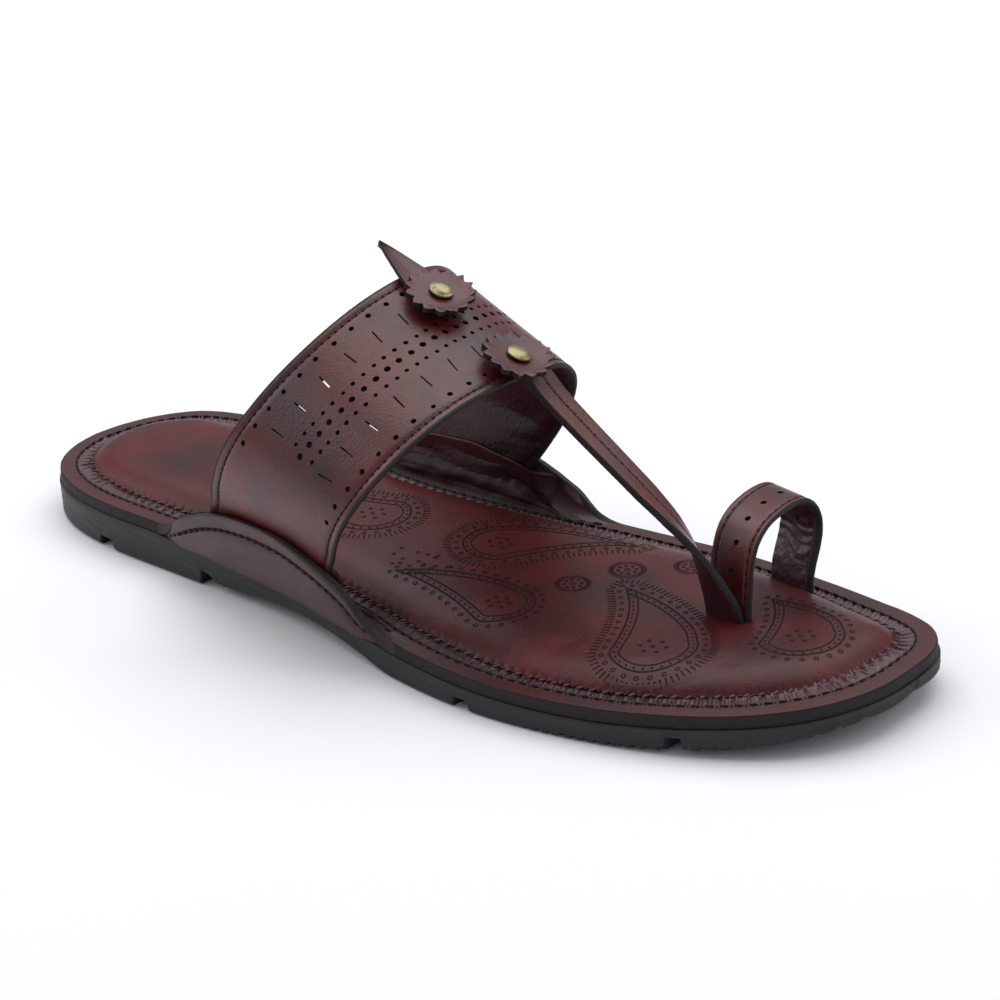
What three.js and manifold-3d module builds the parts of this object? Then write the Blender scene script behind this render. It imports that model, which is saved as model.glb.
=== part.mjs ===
// A right-foot kolhapuri sandal: rubber outsole, leather midsole, padded footbed, two side ears,
// and an upper made of an instep band, a centre strap and a toe loop joined into one piece.
// Millimetres. While it is built, x runs from the back of the heel (0) to the toe, +y is the inner
// (big-toe) side and z = 0 is the floor. At the end the whole group is moved so that its origin is
// the middle of the underside of its bounding box.
import * as THREE from 'three';
import { LoftGeometry } from 'three/addons/geometries/LoftGeometry.js';
import { mergeVertices } from 'three/addons/utils/BufferGeometryUtils.js';
import Module from 'manifold-3d';

const wasm = await Module();
wasm.setup();

const GAP = 0.3;                 // clearance between pieces that meet
const EASE = 0.25;               // more of it round the band, which swells a little inside the ears
const OUTSOLE_LIP = 0.6;         // how far the rubber stands out past the midsole
const RUBBER_BEVEL = 1.1;        // chamfer round the tread
const RIM_BEVEL = 0.5;           // chamfer round the midsole's upper edge
const PAD_INSET = 10.5;          // from the midsole's edge to the footbed cushion
const PAD_EDGE = 0.8;            // upright edge of the cushion
const PAD_RISE = 4.0;            // crown of the cushion above that edge
const PAD_SHOULDER = 11;         // width over which the cushion rounds over
const STRAP_LEATHER = 2.4;       // instep band and toe loop
const CENTRE_LEATHER = 2.0;      // centre strap
const EAR_OUTER = 1.8;           // outer layer of an ear
const EAR_INNER = 1.6;           // inner layer of an ear
const EAR_FLOOR = 1.2;           // fold that joins the two layers
const EAR_START = 72;            // ends of the ears along the foot
const EAR_END = 172;
const SIDE_LEAN = 0.18;          // outward lean of the band's sides, per mm of height
const LEAN_FOOT = 12;            // height where that lean crosses the outline
const REAR_EDGE = { x: 95, z: 27, lean: 0.635 };   // slanting plane of the band's rear edge
const FRONT_EDGE = { x: 146, z: 27, lean: 0.695 };  // slanting plane of its front edge
const LOOP = { rear: 225, front: 239.8, z: 14, lean: -0.12, skew: 3.6 };  // toe loop at its foot
const ROSETTE = { tip: 10, root: 8.5, teeth: 15, leather: 1.6, hole: 1.9 };
const RIVET = { head: 3.3, dome: 1.5, shank: 1.5 };
const LEAF = { length: 25, halfWidth: 4.8, leather: 1.4 };
const LEAF_TURN = 1.36;          // the leaf's turn on its rivet, radians from the sideways line

// The midsole's outline: sideways reach on the outer (little-toe) and inner side.
const OUTLINE = [
  { x: 0, outer: 0, inner: 1.8 },
  { x: 1.5, outer: 8.6, inner: 11.3 },
  { x: 6, outer: 17.7, inner: 22 },
  { x: 14, outer: 25, inner: 31.2 },
  { x: 26, outer: 30.4, inner: 36 },
  { x: 45, outer: 34, inner: 37.4 },
  { x: 70, outer: 35.5, inner: 36 },
  { x: 95, outer: 37, inner: 34.4 },
  { x: 120, outer: 39.7, inner: 34 },
  { x: 145, outer: 44.3, inner: 36.5 },
  { x: 170, outer: 49, inner: 41 },
  { x: 190, outer: 51, inner: 43.5 },
  { x: 208, outer: 50.3, inner: 44.8 },
  { x: 225, outer: 47.5, inner: 43.7 },
  { x: 240, outer: 43.5, inner: 41 },
  { x: 255, outer: 37.5, inner: 37.5 },
  { x: 268, outer: 29.7, inner: 33.7 },
  { x: 277, outer: 20.8, inner: 29 },
  { x: 282, outer: 12, inner: 23.2 },
  { x: 284.5, outer: 3, inner: 16.5 },
  { x: 285, outer: -4.5, inner: 9 },
];

// Heights along the foot: underside of the tread, top of the rubber, top of the midsole.
const HEIGHTS = [
  { x: -1, tread: 0, rubber: 10.2, rim: 13.8 },
  { x: 30, tread: 0, rubber: 10.2, rim: 13.8 },
  { x: 60, tread: 0, rubber: 10.6, rim: 14.2 },
  { x: 83, tread: 0, rubber: 10.2, rim: 13.8 },
  { x: 83.4, tread: 4.2, rubber: 10.2, rim: 13.8 },
  { x: 86.5, tread: 3.8, rubber: 10, rim: 13.6 },
  { x: 91, tread: 1.9, rubber: 9.8, rim: 13.4 },
  { x: 100, tread: 2.6, rubber: 9.1, rim: 12.7 },
  { x: 113, tread: 3.8, rubber: 8.7, rim: 12.3 },
  { x: 126, tread: 4.2, rubber: 8.5, rim: 12.1 },
  { x: 139, tread: 3.7, rubber: 8, rim: 11.6 },
  { x: 152, tread: 2, rubber: 7.5, rim: 11.1 },
  { x: 165, tread: 0, rubber: 6.6, rim: 10.2 },
  { x: 185, tread: 0, rubber: 5.8, rim: 9.4 },
  { x: 208, tread: 0, rubber: 5.4, rim: 9 },
  { x: 228, tread: 0, rubber: 5.6, rim: 9.2 },
  { x: 242, tread: 0.6, rubber: 6.4, rim: 9.9 },
  { x: 256, tread: 1.8, rubber: 7.3, rim: 10.7 },
  { x: 270, tread: 3.6, rubber: 8.4, rim: 11.8 },
  { x: 286, tread: 6.2, rubber: 9.6, rim: 12.9 },
];

// Raw upper edge of the ears, outer and inner side of the foot.
const EAR_EDGE = [
  { x: 64, outer: 13.4, inner: 13.4 },
  { x: 68, outer: 15.6, inner: 15.2 },
  { x: 76, outer: 19.1, inner: 17.6 },
  { x: 84, outer: 22.8, inner: 20.8 },
  { x: 92, outer: 25.7, inner: 24 },
  { x: 101, outer: 27.5, inner: 26.4 },
  { x: 112, outer: 28.2, inner: 28.2 },
  { x: 122, outer: 27.9, inner: 28.4 },
  { x: 132, outer: 26.2, inner: 26.6 },
  { x: 142, outer: 23.5, inner: 24.2 },
  { x: 149, outer: 20.6, inner: 21.1 },
  { x: 155, outer: 16, inner: 17.8 },
  { x: 162, outer: 12.8, inner: 14.2 },
  { x: 172, outer: 9.7, inner: 9.9 },
];

// Sections of the instep band above the ears, from the outer side over the instep to the inner
// side: sideways place and height of its rear edge and of its front edge.
const BAND_SECTIONS = [
  { rearY: -44.6, rearZ: 38, frontY: -50.6, frontZ: 35.5 },
  { rearY: -46.8, rearZ: 47, frontY: -51.6, frontZ: 43 },
  { rearY: -46.2, rearZ: 55, frontY: -49.6, frontZ: 50 },
  { rearY: -43, rearZ: 62, frontY: -46, frontZ: 56 },
  { rearY: -38, rearZ: 69, frontY: -40.6, frontZ: 61.4 },
  { rearY: -31, rearZ: 75.4, frontY: -33.6, frontZ: 65.6 },
  { rearY: -22.5, rearZ: 81, frontY: -25, frontZ: 68.4 },
  { rearY: -12, rearZ: 85.4, frontY: -14.5, frontZ: 69.4 },
  { rearY: 0, rearZ: 87.6, frontY: -3, frontZ: 69 },
  { rearY: 11, rearZ: 87.2, frontY: 8.5, frontZ: 67.6 },
  { rearY: 21, rearZ: 83.4, frontY: 18.5, frontZ: 64.6 },
  { rearY: 29, rearZ: 76.6, frontY: 27, frontZ: 59.2 },
  { rearY: 35, rearZ: 67, frontY: 33.6, frontZ: 52 },
  { rearY: 38.6, rearZ: 56, frontY: 38, frontZ: 43.5 },
  { rearY: 40.2, rearZ: 42.5, frontY: 40.2, frontZ: 34.5 },
];

// Heights of the band's rear and front edge where it runs down inside an ear.
const BAND_FEET = [
  { rear: 12.6, front: 11.4 },
  { rear: 19.5, front: 19.5 },
  { rear: 27, front: 27 },
];

// Outer face of the toe loop at its front edge, from the outer side to the inner side.
const LOOP_SECTIONS = [
  { y: 2.2, z: 10.6 },
  { y: 3.1, z: 15.2 },
  { y: 4.9, z: 21.4 },
  { y: 7.2, z: 27.8 },
  { y: 10.4, z: 32.4 },
  { y: 15, z: 35.3 },
  { y: 21, z: 36.8 },
  { y: 27.3, z: 37.2 },
  { y: 33.4, z: 36.2 },
  { y: 37.2, z: 33.4 },
  { y: 38.9, z: 29.6 },
  { y: 38.5, z: 25.4 },
  { y: 36.6, z: 21.6 },
  { y: 34, z: 17.8 },
  { y: 32.2, z: 14.4 },
  { y: 31.2, z: 10.4 },
];

// Middle of the centre strap, its turn about its own length and its width.
const CENTRE_SECTIONS = [
  { x: 163, y: 1.4, z: 75.1, turn: 0, width: 9 },
  { x: 169, y: 1.5, z: 72.4, turn: 0, width: 9 },
  { x: 175.2, y: 1.6, z: 69.7, turn: 0, width: 9 },
  { x: 181.4, y: 1.8, z: 63.8, turn: 0, width: 8.6 },
  { x: 190, y: 2, z: 57.2, turn: -2, width: 8.4 },
  { x: 200, y: 2, z: 50.2, turn: -4, width: 8.2 },
  { x: 210, y: 2.1, z: 43.1, turn: -8, width: 8.2 },
  { x: 217.6, y: 2.3, z: 37.2, turn: -20, width: 8.2 },
  { x: 223.6, y: 2.6, z: 31, turn: -42, width: 8.6 },
  { x: 228.4, y: 2.8, z: 24, turn: -66, width: 9.4 },
  { x: 232, y: 2.9, z: 16.8, turn: -84, width: 10.8 },
  { x: 233.6, y: 2.9, z: 11.2, turn: -90, width: 11.6 },
];

// Cross grooves of the tread: middle, slant across the foot, width and depth.
const GROOVES = [
  { x: 43.5, slant: 3, width: 6, depth: 2.8 },
  { x: 200, slant: 10, width: 5, depth: 2.8 },
  { x: 253, slant: 6, width: 4, depth: 4.6 },
];

const LOOKS = {
  rubber: { color: 0x2f2f34, roughness: 0.7, metalness: 0 },
  rim: { color: 0x5c3a3c, roughness: 0.5, metalness: 0 },
  leather: { color: 0x5e2c2e, roughness: 0.4, metalness: 0 },
  cushion: { color: 0x6b3a3c, roughness: 0.42, metalness: 0 },
  brass: { color: 0x9a8f68, roughness: 0.35, metalness: 1 },
};

// A smooth column of a table: a cubic through its rows that never overshoots them.
function column(rows, key) {
  const xs = rows.map((row) => row.x);
  const ys = rows.map((row) => row[key]);
  const steps = xs.slice(1).map((x, i) => (ys[i + 1] - ys[i]) / (x - xs[i]));
  const slopes = xs.map((x, i) => {
    if (i === 0 || i === xs.length - 1 || steps[i - 1] * steps[i] <= 0) return 0;
    return (2 * steps[i - 1] * steps[i]) / (steps[i - 1] + steps[i]);
  });
  return (x) => {
    const at = THREE.MathUtils.clamp(x, xs[0], xs[xs.length - 1]);
    const i = Math.min(Math.max(xs.findIndex((value) => value > at) - 1, 0), xs.length - 2);
    const j = at >= xs[xs.length - 1] ? xs.length - 2 : i;
    const width = xs[j + 1] - xs[j];
    const t = (at - xs[j]) / width;
    const ease = t * t * (3 - 2 * t);
    const lift = slopes[j] * t * (1 - t) * (1 - t) - slopes[j + 1] * t * t * (1 - t);
    return THREE.MathUtils.lerp(ys[j], ys[j + 1], ease) + lift * width;
  };
}

const tread = column(HEIGHTS, 'tread');
const rubber = column(HEIGHTS, 'rubber');
const rim = column(HEIGHTS, 'rim');
const earEdge = { outer: column(EAR_EDGE, 'outer'), inner: column(EAR_EDGE, 'inner') };

// The closed outline as a ring of points, and that ring moved inward by an inset.
const outlinePoints = [
  ...OUTLINE.map((row) => new THREE.Vector3(row.x, -row.outer, 0)),
  ...OUTLINE.map((row) => new THREE.Vector3(row.x, row.inner, 0)).reverse(),
];
const outlineRing = new THREE.CatmullRomCurve3(outlinePoints, true, 'centripetal').getPoints(720);
outlineRing.pop();

function insetRing(inset) {
  const count = outlineRing.length;
  return outlineRing.map((point, i) => {
    const ahead = outlineRing[(i + 2) % count];
    const behind = outlineRing[(i + count - 2) % count];
    const along = ahead.clone().sub(behind).normalize();
    return new THREE.Vector3(point.x - along.y * inset, point.y + along.x * inset, 0);
  });
}

// The outline at an inset, as its two ends and its sideways reach at any x.
function outlineAt(inset) {
  const ring = insetRing(inset);
  const heel = Math.min(...ring.map((point) => point.x));
  const toe = Math.max(...ring.map((point) => point.x));
  const span = (x) => {
    const hits = [];
    ring.forEach((a, i) => {
      const b = ring[(i + 1) % ring.length];
      if ((a.x - x) * (b.x - x) <= 0 && a.x !== b.x) {
        hits.push(a.y + ((b.y - a.y) * (x - a.x)) / (b.x - a.x));
      }
    });
    return { outer: Math.min(...hits), inner: Math.max(...hits) };
  };
  const depth = (x, y) => Math.min(...ring.map((point) => Math.hypot(point.x - x, point.y - y)));
  return { heel, toe, span, depth };
}

// Stations from a to b, closer together towards both ends, with extra ones where asked.
function stations(a, b, count, extra = []) {
  const even = Array.from({ length: count + 1 }, (_, i) => {
    const t = (1 - Math.cos((Math.PI * i) / count)) / 2;
    return a + 0.04 + (b - a - 0.08) * t;
  });
  const kept = even.filter((x) => extra.every((other) => Math.abs(other - x) > 0.7));
  return [...kept, ...extra].sort((p, q) => p - q);
}

// A geometry's bare triangles with their shared corners merged.
function welded(geometry) {
  const bare = new THREE.BufferGeometry();
  bare.setAttribute('position', geometry.getAttribute('position'));
  bare.setIndex(geometry.index);
  return mergeVertices(bare, 1e-4);
}

// A solid skinned through closed sections, with its faces turned outward.
function loft(sections) {
  const build = (rings) => welded(new LoftGeometry(rings, { capStart: true, capEnd: true }));
  const first = build(sections);
  return volume(first) > 0 ? first : build(sections.map((ring) => [...ring].reverse()));
}

function volume(geometry) {
  const place = geometry.getAttribute('position');
  const index = geometry.index.array;
  const corner = (k) => new THREE.Vector3().fromBufferAttribute(place, index[k]);
  let total = 0;
  for (let k = 0; k < index.length; k += 3) {
    total += corner(k).dot(corner(k + 1).cross(corner(k + 2))) / 6;
  }
  return total;
}

function toManifold(geometry) {
  const merged = welded(geometry);
  return new wasm.Manifold(new wasm.Mesh({
    numProp: 3,
    vertProperties: new Float32Array(merged.getAttribute('position').array),
    triVerts: new Uint32Array(merged.index.array),
  }));
}

function fromManifold(solid) {
  const mesh = solid.getMesh();
  const geometry = new THREE.BufferGeometry();
  geometry.setAttribute('position', new THREE.BufferAttribute(mesh.vertProperties, 3));
  geometry.setIndex(new THREE.BufferAttribute(mesh.triVerts, 1));
  return geometry;
}

// A slab that follows the foot: at each station a section with bevelled corners.
function slab(xs, reach, bottom, top, bevel) {
  return loft(xs.map((x) => {
    const { outer, inner } = reach(x);
    const low = bottom(x);
    const high = top(x);
    const half = (inner - outer) / 2;
    const under = Math.min(bevel.under, half * 0.6);
    const over = Math.min(bevel.over, half * 0.6);
    return [
      [outer + under, low],
      [outer, low + bevel.under],
      [outer, high - bevel.over],
      [outer + over, high],
      [inner - over, high],
      [inner, high - bevel.over],
      [inner, low + bevel.under],
      [inner - under, low],
    ].map(([y, z]) => new THREE.Vector3(x, y, z));
  }));
}

function outsole() {
  const edge = outlineAt(-OUTSOLE_LIP);
  const breast = HEIGHTS.filter((row) => row.x > 80 && row.x < 90).map((row) => row.x);
  const xs = stations(edge.heel, edge.toe, 52, [30, 60, ...breast, 165, 228]);
  const body = slab(xs, edge.span, tread, rubber, { under: RUBBER_BEVEL, over: 0.3 });
  const grooves = GROOVES.map((groove) => {
    const channel = new THREE.BoxGeometry(groove.width, 120, 2 * groove.depth);
    channel.rotateZ(-THREE.MathUtils.degToRad(groove.slant));
    channel.translate(groove.x, 0, 0);
    return toManifold(channel);
  });
  return fromManifold(grooves.reduce((solid, groove) => solid.subtract(groove), toManifold(body)));
}

// The midsole is let in along the ears, which stand beside it on the rubber.
function midsole() {
  const edge = outlineAt(0);
  const letIn = EAR_INNER + STRAP_LEATHER + 2 * GAP + EASE + 0.9;
  const ramp = THREE.MathUtils.smoothstep;
  const cutBack = (x) => letIn * ramp(x, EAR_START - 3, EAR_START - 1)
    * (1 - ramp(x, EAR_END + 1, EAR_END + 3));
  const reach = (x) => {
    const { outer, inner } = edge.span(x);
    return { outer: outer + cutBack(x), inner: inner - cutBack(x) };
  };
  const ends = [-3, -2, -1].map((d) => EAR_START + d).concat([1, 2, 3].map((d) => EAR_END + d));
  const xs = stations(edge.heel, edge.toe, 44, ends);
  return slab(xs, reach, (x) => rubber(x) + GAP, rim, { under: 0.2, over: RIM_BEVEL });
}

// The footbed cushion: flat below, rounding over from its edge to a low crown.
function cushion() {
  const edge = outlineAt(PAD_INSET);
  const across = 8;
  const crown = (x, y) => {
    const away = THREE.MathUtils.clamp(edge.depth(x, y) / PAD_SHOULDER, 0, 1);
    return PAD_RISE * (1 - Math.pow(1 - away, 2.6));
  };
  return loft(stations(edge.heel, edge.toe, 40).map((x) => {
    const { outer, inner } = edge.span(x);
    const base = rim(x) + GAP;
    const top = Array.from({ length: across + 1 }, (_, i) => {
      const t = (1 - Math.cos((Math.PI * i) / across)) / 2;
      const y = THREE.MathUtils.lerp(outer, inner, t);
      return new THREE.Vector3(x, y, base + PAD_EDGE + crown(x, y));
    });
    return [new THREE.Vector3(x, inner, base), new THREE.Vector3(x, outer, base), ...top];
  }));
}

// Sideways place of the band's outer face inside the ears, at a given x and height.
const midsoleEdge = outlineAt(0);

function sideWall(side, x, z) {
  const { outer, inner } = midsoleEdge.span(x);
  const lean = SIDE_LEAN * (z - LEAN_FOOT);
  return side === 'outer' ? outer - lean : inner + lean;
}

// An ear: an outer and an inner layer that share a fold below, with the band's end between them.
function ear(side) {
  const outward = side === 'outer' ? -1 : 1;
  const levels = 4;
  const xs = stations(EAR_START, EAR_END, 26);
  return loft(xs.map((x) => {
    const foot = rubber(x) + GAP;
    const fold = foot + EAR_FLOOR;
    const top = Math.max(earEdge[side](x), fold + 0.5);
    const point = (away, z) => new THREE.Vector3(x, sideWall(side, x, z) + outward * away, z);
    const rise = (low, steps) => Array.from({ length: steps + 1 }, (_, i) => low + ((top - low) * i) / steps);
    const face = EAR_OUTER + GAP;
    const lining = STRAP_LEATHER + GAP + EASE;
    return [
      ...rise(foot, levels).map((z) => point(face, z)),
      ...rise(fold, 3).reverse().map((z) => point(GAP + EASE, z)),
      ...rise(fold, 3).map((z) => point(-lining, z)),
      ...rise(foot, levels).reverse().map((z) => point(-lining - EAR_INNER, z)),
    ];
  }));
}

// The instep band's outer face: u runs over the foot, v from its rear edge to its front edge.
function bandCurve(v) {
  const lerp = THREE.MathUtils.lerp;
  const edgeX = (edge, z) => edge.x + edge.lean * (z - edge.z);
  const place = (rearZ, frontZ) => {
    const z = lerp(rearZ, frontZ, v);
    return { x: lerp(edgeX(REAR_EDGE, rearZ), edgeX(FRONT_EDGE, frontZ), v), z };
  };
  const feet = (side) => BAND_FEET.map((row) => {
    const { x, z } = place(row.rear, row.front);
    return new THREE.Vector3(x, sideWall(side, x, z), z);
  });
  const over = BAND_SECTIONS.map((row) => {
    const { x, z } = place(row.rearZ, row.frontZ);
    return new THREE.Vector3(x, lerp(row.rearY, row.frontY, v), z);
  });
  return new THREE.CatmullRomCurve3([...feet('outer'), ...over, ...feet('inner').reverse()]);
}

// A strap of even thickness under a grid of points rows[i][j] on its outer face.
function strapUnder(rows, leather) {
  return loft(rows.map((row, i) => {
    const next = rows[Math.min(i + 1, rows.length - 1)];
    const last = rows[Math.max(i - 1, 0)];
    const lining = row.map((point, j) => {
      const along = next[j].clone().sub(last[j]);
      const across = row[Math.min(j + 1, row.length - 1)].clone().sub(row[Math.max(j - 1, 0)]);
      const inward = along.cross(across).normalize();
      return point.clone().addScaledVector(inward, leather);
    });
    return [...row, ...lining.reverse()];
  }));
}

function instepBand() {
  const curves = [0, 0.25, 0.5, 0.75, 1].map(bandCurve);
  const count = 46;
  const rows = Array.from({ length: count + 1 }, (_, i) => curves.map((curve) => curve.getPoint(i / count)));
  return strapUnder(rows, STRAP_LEATHER);
}

// The toe loop, grown by a margin where its slots are cut out of the cushion.
function toeLoop(grow = 0) {
  const middle = (LOOP.rear + LOOP.front) / 2;
  const half = (LOOP.front - LOOP.rear) / 2 + grow;
  const curves = [-1, 0, 1].map((edge) => new THREE.CatmullRomCurve3(LOOP_SECTIONS.map((row) => {
    const x = middle + half * edge + LOOP.lean * (row.z - LOOP.z);
    return new THREE.Vector3(x, row.y + (LOOP.skew * (1 - edge)) / 2, row.z);
  })));
  const count = 26;
  const rows = Array.from({ length: count + 1 }, (_, i) => curves.map((curve) => curve.getPoint(i / count)));
  const outward = grow > 0 ? grown(rows, grow) : rows;
  return strapUnder(outward, STRAP_LEATHER + 2 * grow);
}

// A grid of points moved outward from its own face.
function grown(rows, grow) {
  return rows.map((row, i) => row.map((point, j) => {
    const along = rows[Math.min(i + 1, rows.length - 1)][j].clone().sub(rows[Math.max(i - 1, 0)][j]);
    const across = row[Math.min(j + 1, row.length - 1)].clone().sub(row[Math.max(j - 1, 0)]);
    return point.clone().addScaledVector(along.cross(across).normalize(), -grow);
  }));
}

function centreStrap(grow = 0) {
  const path = new THREE.CatmullRomCurve3(CENTRE_SECTIONS.map((row) => new THREE.Vector3(row.x, row.y, row.z)));
  const count = 40;
  const last = CENTRE_SECTIONS.length - 1;
  const value = (key, t) => {
    const i = Math.min(Math.floor(t * last), last - 1);
    return THREE.MathUtils.lerp(CENTRE_SECTIONS[i][key], CENTRE_SECTIONS[i + 1][key], t * last - i);
  };
  return loft(Array.from({ length: count + 1 }, (_, i) => {
    const t = i / count;
    const centre = path.getPoint(t);
    const along = path.getTangent(t);
    const flat = new THREE.Vector3(0, 1, 0).addScaledVector(along, -along.y).normalize();
    const side = flat.applyAxisAngle(along, THREE.MathUtils.degToRad(value('turn', t)));
    const up = along.clone().cross(side).normalize();
    const width = value('width', t) / 2 + grow;
    const thick = CENTRE_LEATHER / 2 + grow;
    return [[1, 1], [-1, 1], [-1, -1], [1, -1]].map(([s, u]) => (
      centre.clone().addScaledVector(side, s * width).addScaledVector(up, u * thick)
    ));
  }));
}

// Seats of the two rosettes: the band's outer face under each rivet and the way it faces.
function seatAt(u, v) {
  const step = 0.01;
  const point = bandCurve(v).getPoint(u);
  const along = bandCurve(v).getPoint(u + step).sub(bandCurve(v).getPoint(u - step));
  const across = bandCurve(v + step).getPoint(u).sub(bandCurve(v - step).getPoint(u));
  return { point, facing: across.cross(along).normalize() };
}

const rearSeat = seatAt(0.555, 0.29);
const frontSeat = seatAt(0.553, 0.93);
const seatTurn = (seat) => new THREE.Quaternion()
  .setFromUnitVectors(new THREE.Vector3(0, 0, 1), seat.facing);
const above = (seat, height) => seat.point.clone().addScaledVector(seat.facing, height);

function rosette() {
  const star = new THREE.Shape();
  for (let i = 0; i < 2 * ROSETTE.teeth; i += 1) {
    const reach = i % 2 === 0 ? ROSETTE.tip : ROSETTE.root;
    const angle = (Math.PI * i) / ROSETTE.teeth;
    const place = [reach * Math.cos(angle), reach * Math.sin(angle)];
    if (i === 0) star.moveTo(...place);
    else star.lineTo(...place);
  }
  star.closePath();
  star.holes.push(new THREE.Path().absarc(0, 0, ROSETTE.hole, 0, 2 * Math.PI, true));
  return new THREE.ExtrudeGeometry(star, { depth: ROSETTE.leather, bevelEnabled: false, curveSegments: 12 });
}

// A rivet: a domed head above its seat and a shank that runs down from it.
function rivet(shankLength) {
  const steps = 6;
  const dome = Array.from({ length: steps + 1 }, (_, i) => {
    const angle = (Math.PI / 2) * (1 - i / steps);
    return new THREE.Vector2(RIVET.head * Math.cos(angle), 0.3 + RIVET.dome * Math.sin(angle));
  });
  dome[0].x = 0;
  const profile = [
    ...dome,
    new THREE.Vector2(RIVET.head, 0),
    new THREE.Vector2(RIVET.shank, 0),
    new THREE.Vector2(RIVET.shank, -shankLength),
    new THREE.Vector2(0, -shankLength),
  ];
  return new THREE.LatheGeometry(profile.reverse(), 20).rotateX(Math.PI / 2);
}

// The leaf: a pointed tongue with a round root, pierced by the rear rivet.
function leaf() {
  const outline = new THREE.Shape();
  outline.moveTo(-LEAF.halfWidth, 0);
  outline.absarc(0, 0, LEAF.halfWidth, Math.PI, 2 * Math.PI, false);
  outline.bezierCurveTo(LEAF.halfWidth, 9, 2.6, 15, 0, LEAF.length);
  outline.bezierCurveTo(-2.6, 15, -LEAF.halfWidth, 9, -LEAF.halfWidth, 0);
  outline.holes.push(new THREE.Path().absarc(0, 0, ROSETTE.hole, 0, 2 * Math.PI, true));
  return new THREE.ExtrudeGeometry(outline, { depth: LEAF.leather, bevelEnabled: false, curveSegments: 10 });
}

// A round bore through the straps on a seat's axis, wide enough for the shank.
function boreAt(seat) {
  const bore = new THREE.CylinderGeometry(ROSETTE.hole, ROSETTE.hole, 12, 16).rotateX(Math.PI / 2);
  bore.applyQuaternion(seatTurn(seat));
  bore.translate(...above(seat, 0).toArray());
  return toManifold(bore);
}

function straps() {
  const joined = toManifold(instepBand()).add(toManifold(centreStrap())).add(toManifold(toeLoop()));
  return fromManifold(joined.subtract(boreAt(rearSeat)).subtract(boreAt(frontSeat)));
}

function footbed() {
  const slots = toManifold(toeLoop(GAP)).add(toManifold(centreStrap(GAP)));
  return fromManifold(toManifold(cushion()).subtract(slots).subtract(slots.translate([0, 0, -GAP])));
}

function mesh(name, geometry, look) {
  const part = new THREE.Mesh(geometry, new THREE.MeshStandardMaterial(LOOKS[look]));
  part.name = name;
  return part;
}

// Things stacked on a seat share one nested group that stands on the band and faces outward.
function stackOn(seat, turn, items) {
  const stack = new THREE.Group();
  stack.position.copy(seat.point);
  const spin = new THREE.Quaternion().setFromAxisAngle(new THREE.Vector3(0, 0, 1), turn);
  stack.quaternion.copy(seatTurn(seat)).multiply(spin);
  items.forEach(([part, height]) => {
    part.position.z = height;
    stack.add(part);
  });
  return stack;
}

const leafSeat = 0.45;
const rearRosette = leafSeat + LEAF.leather + GAP;
const frontRosette = 2.6;
const sandal = new THREE.Group();
sandal.add(
  mesh('outsole', outsole(), 'rubber'),
  mesh('midsole', midsole(), 'rim'),
  mesh('footbed', footbed(), 'cushion'),
  mesh('ear_outer_side', ear('outer'), 'leather'),
  mesh('ear_inner_side', ear('inner'), 'leather'),
  mesh('straps', straps(), 'leather'),
  stackOn(rearSeat, LEAF_TURN, [
    [mesh('leaf', leaf(), 'leather'), leafSeat],
    [mesh('rosette_rear', rosette(), 'leather'), rearRosette],
    [mesh('rivet_rear', rivet(rearRosette + ROSETTE.leather + GAP + 1.4), 'brass'),
      rearRosette + ROSETTE.leather + GAP],
  ]),
  stackOn(frontSeat, 0, [
    [mesh('rosette_front', rosette(), 'leather'), frontRosette],
    [mesh('rivet_front', rivet(frontRosette + ROSETTE.leather + GAP + 1.4), 'brass'),
      frontRosette + ROSETTE.leather + GAP],
  ]),
);

const box = new THREE.Box3().setFromObject(sandal, true);
const middle = box.getCenter(new THREE.Vector3());
sandal.position.set(-middle.x, -middle.y, -box.min.z);

export default sandal;
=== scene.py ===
"""The looks of a right-foot kolhapuri sandal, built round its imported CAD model.

Shapes are worked out in millimetres in the shoe's own frame: x runs from the back of the heel (0)
to the toe, +y is the inner (big-toe) side and z = 0 is the floor. place() turns them into metres
in the frame of the CAD model. Each piece is a numpy surface: a profile carried round the sole's
outline, a section carried along a strap, or a function of two parameters.
"""

from math import cos, pi, radians, sin

import bpy
import numpy as np
from mathutils import Matrix, Vector


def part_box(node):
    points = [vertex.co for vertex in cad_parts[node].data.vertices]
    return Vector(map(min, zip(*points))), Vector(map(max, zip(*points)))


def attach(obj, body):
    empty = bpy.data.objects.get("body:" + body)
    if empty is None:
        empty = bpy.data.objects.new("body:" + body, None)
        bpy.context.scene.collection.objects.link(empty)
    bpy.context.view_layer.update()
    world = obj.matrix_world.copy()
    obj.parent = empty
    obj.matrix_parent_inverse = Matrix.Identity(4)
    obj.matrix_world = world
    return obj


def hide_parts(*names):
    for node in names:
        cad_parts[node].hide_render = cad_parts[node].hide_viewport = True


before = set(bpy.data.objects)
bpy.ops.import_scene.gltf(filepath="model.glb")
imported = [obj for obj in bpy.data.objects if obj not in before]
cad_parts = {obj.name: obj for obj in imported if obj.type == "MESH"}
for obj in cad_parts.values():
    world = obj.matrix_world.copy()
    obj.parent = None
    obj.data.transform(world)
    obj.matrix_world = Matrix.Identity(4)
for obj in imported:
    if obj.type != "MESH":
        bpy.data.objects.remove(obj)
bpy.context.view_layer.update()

MM = 0.001
SEED = 7

# ---------------------------------------------------------------- sizes of the sandal

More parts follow.
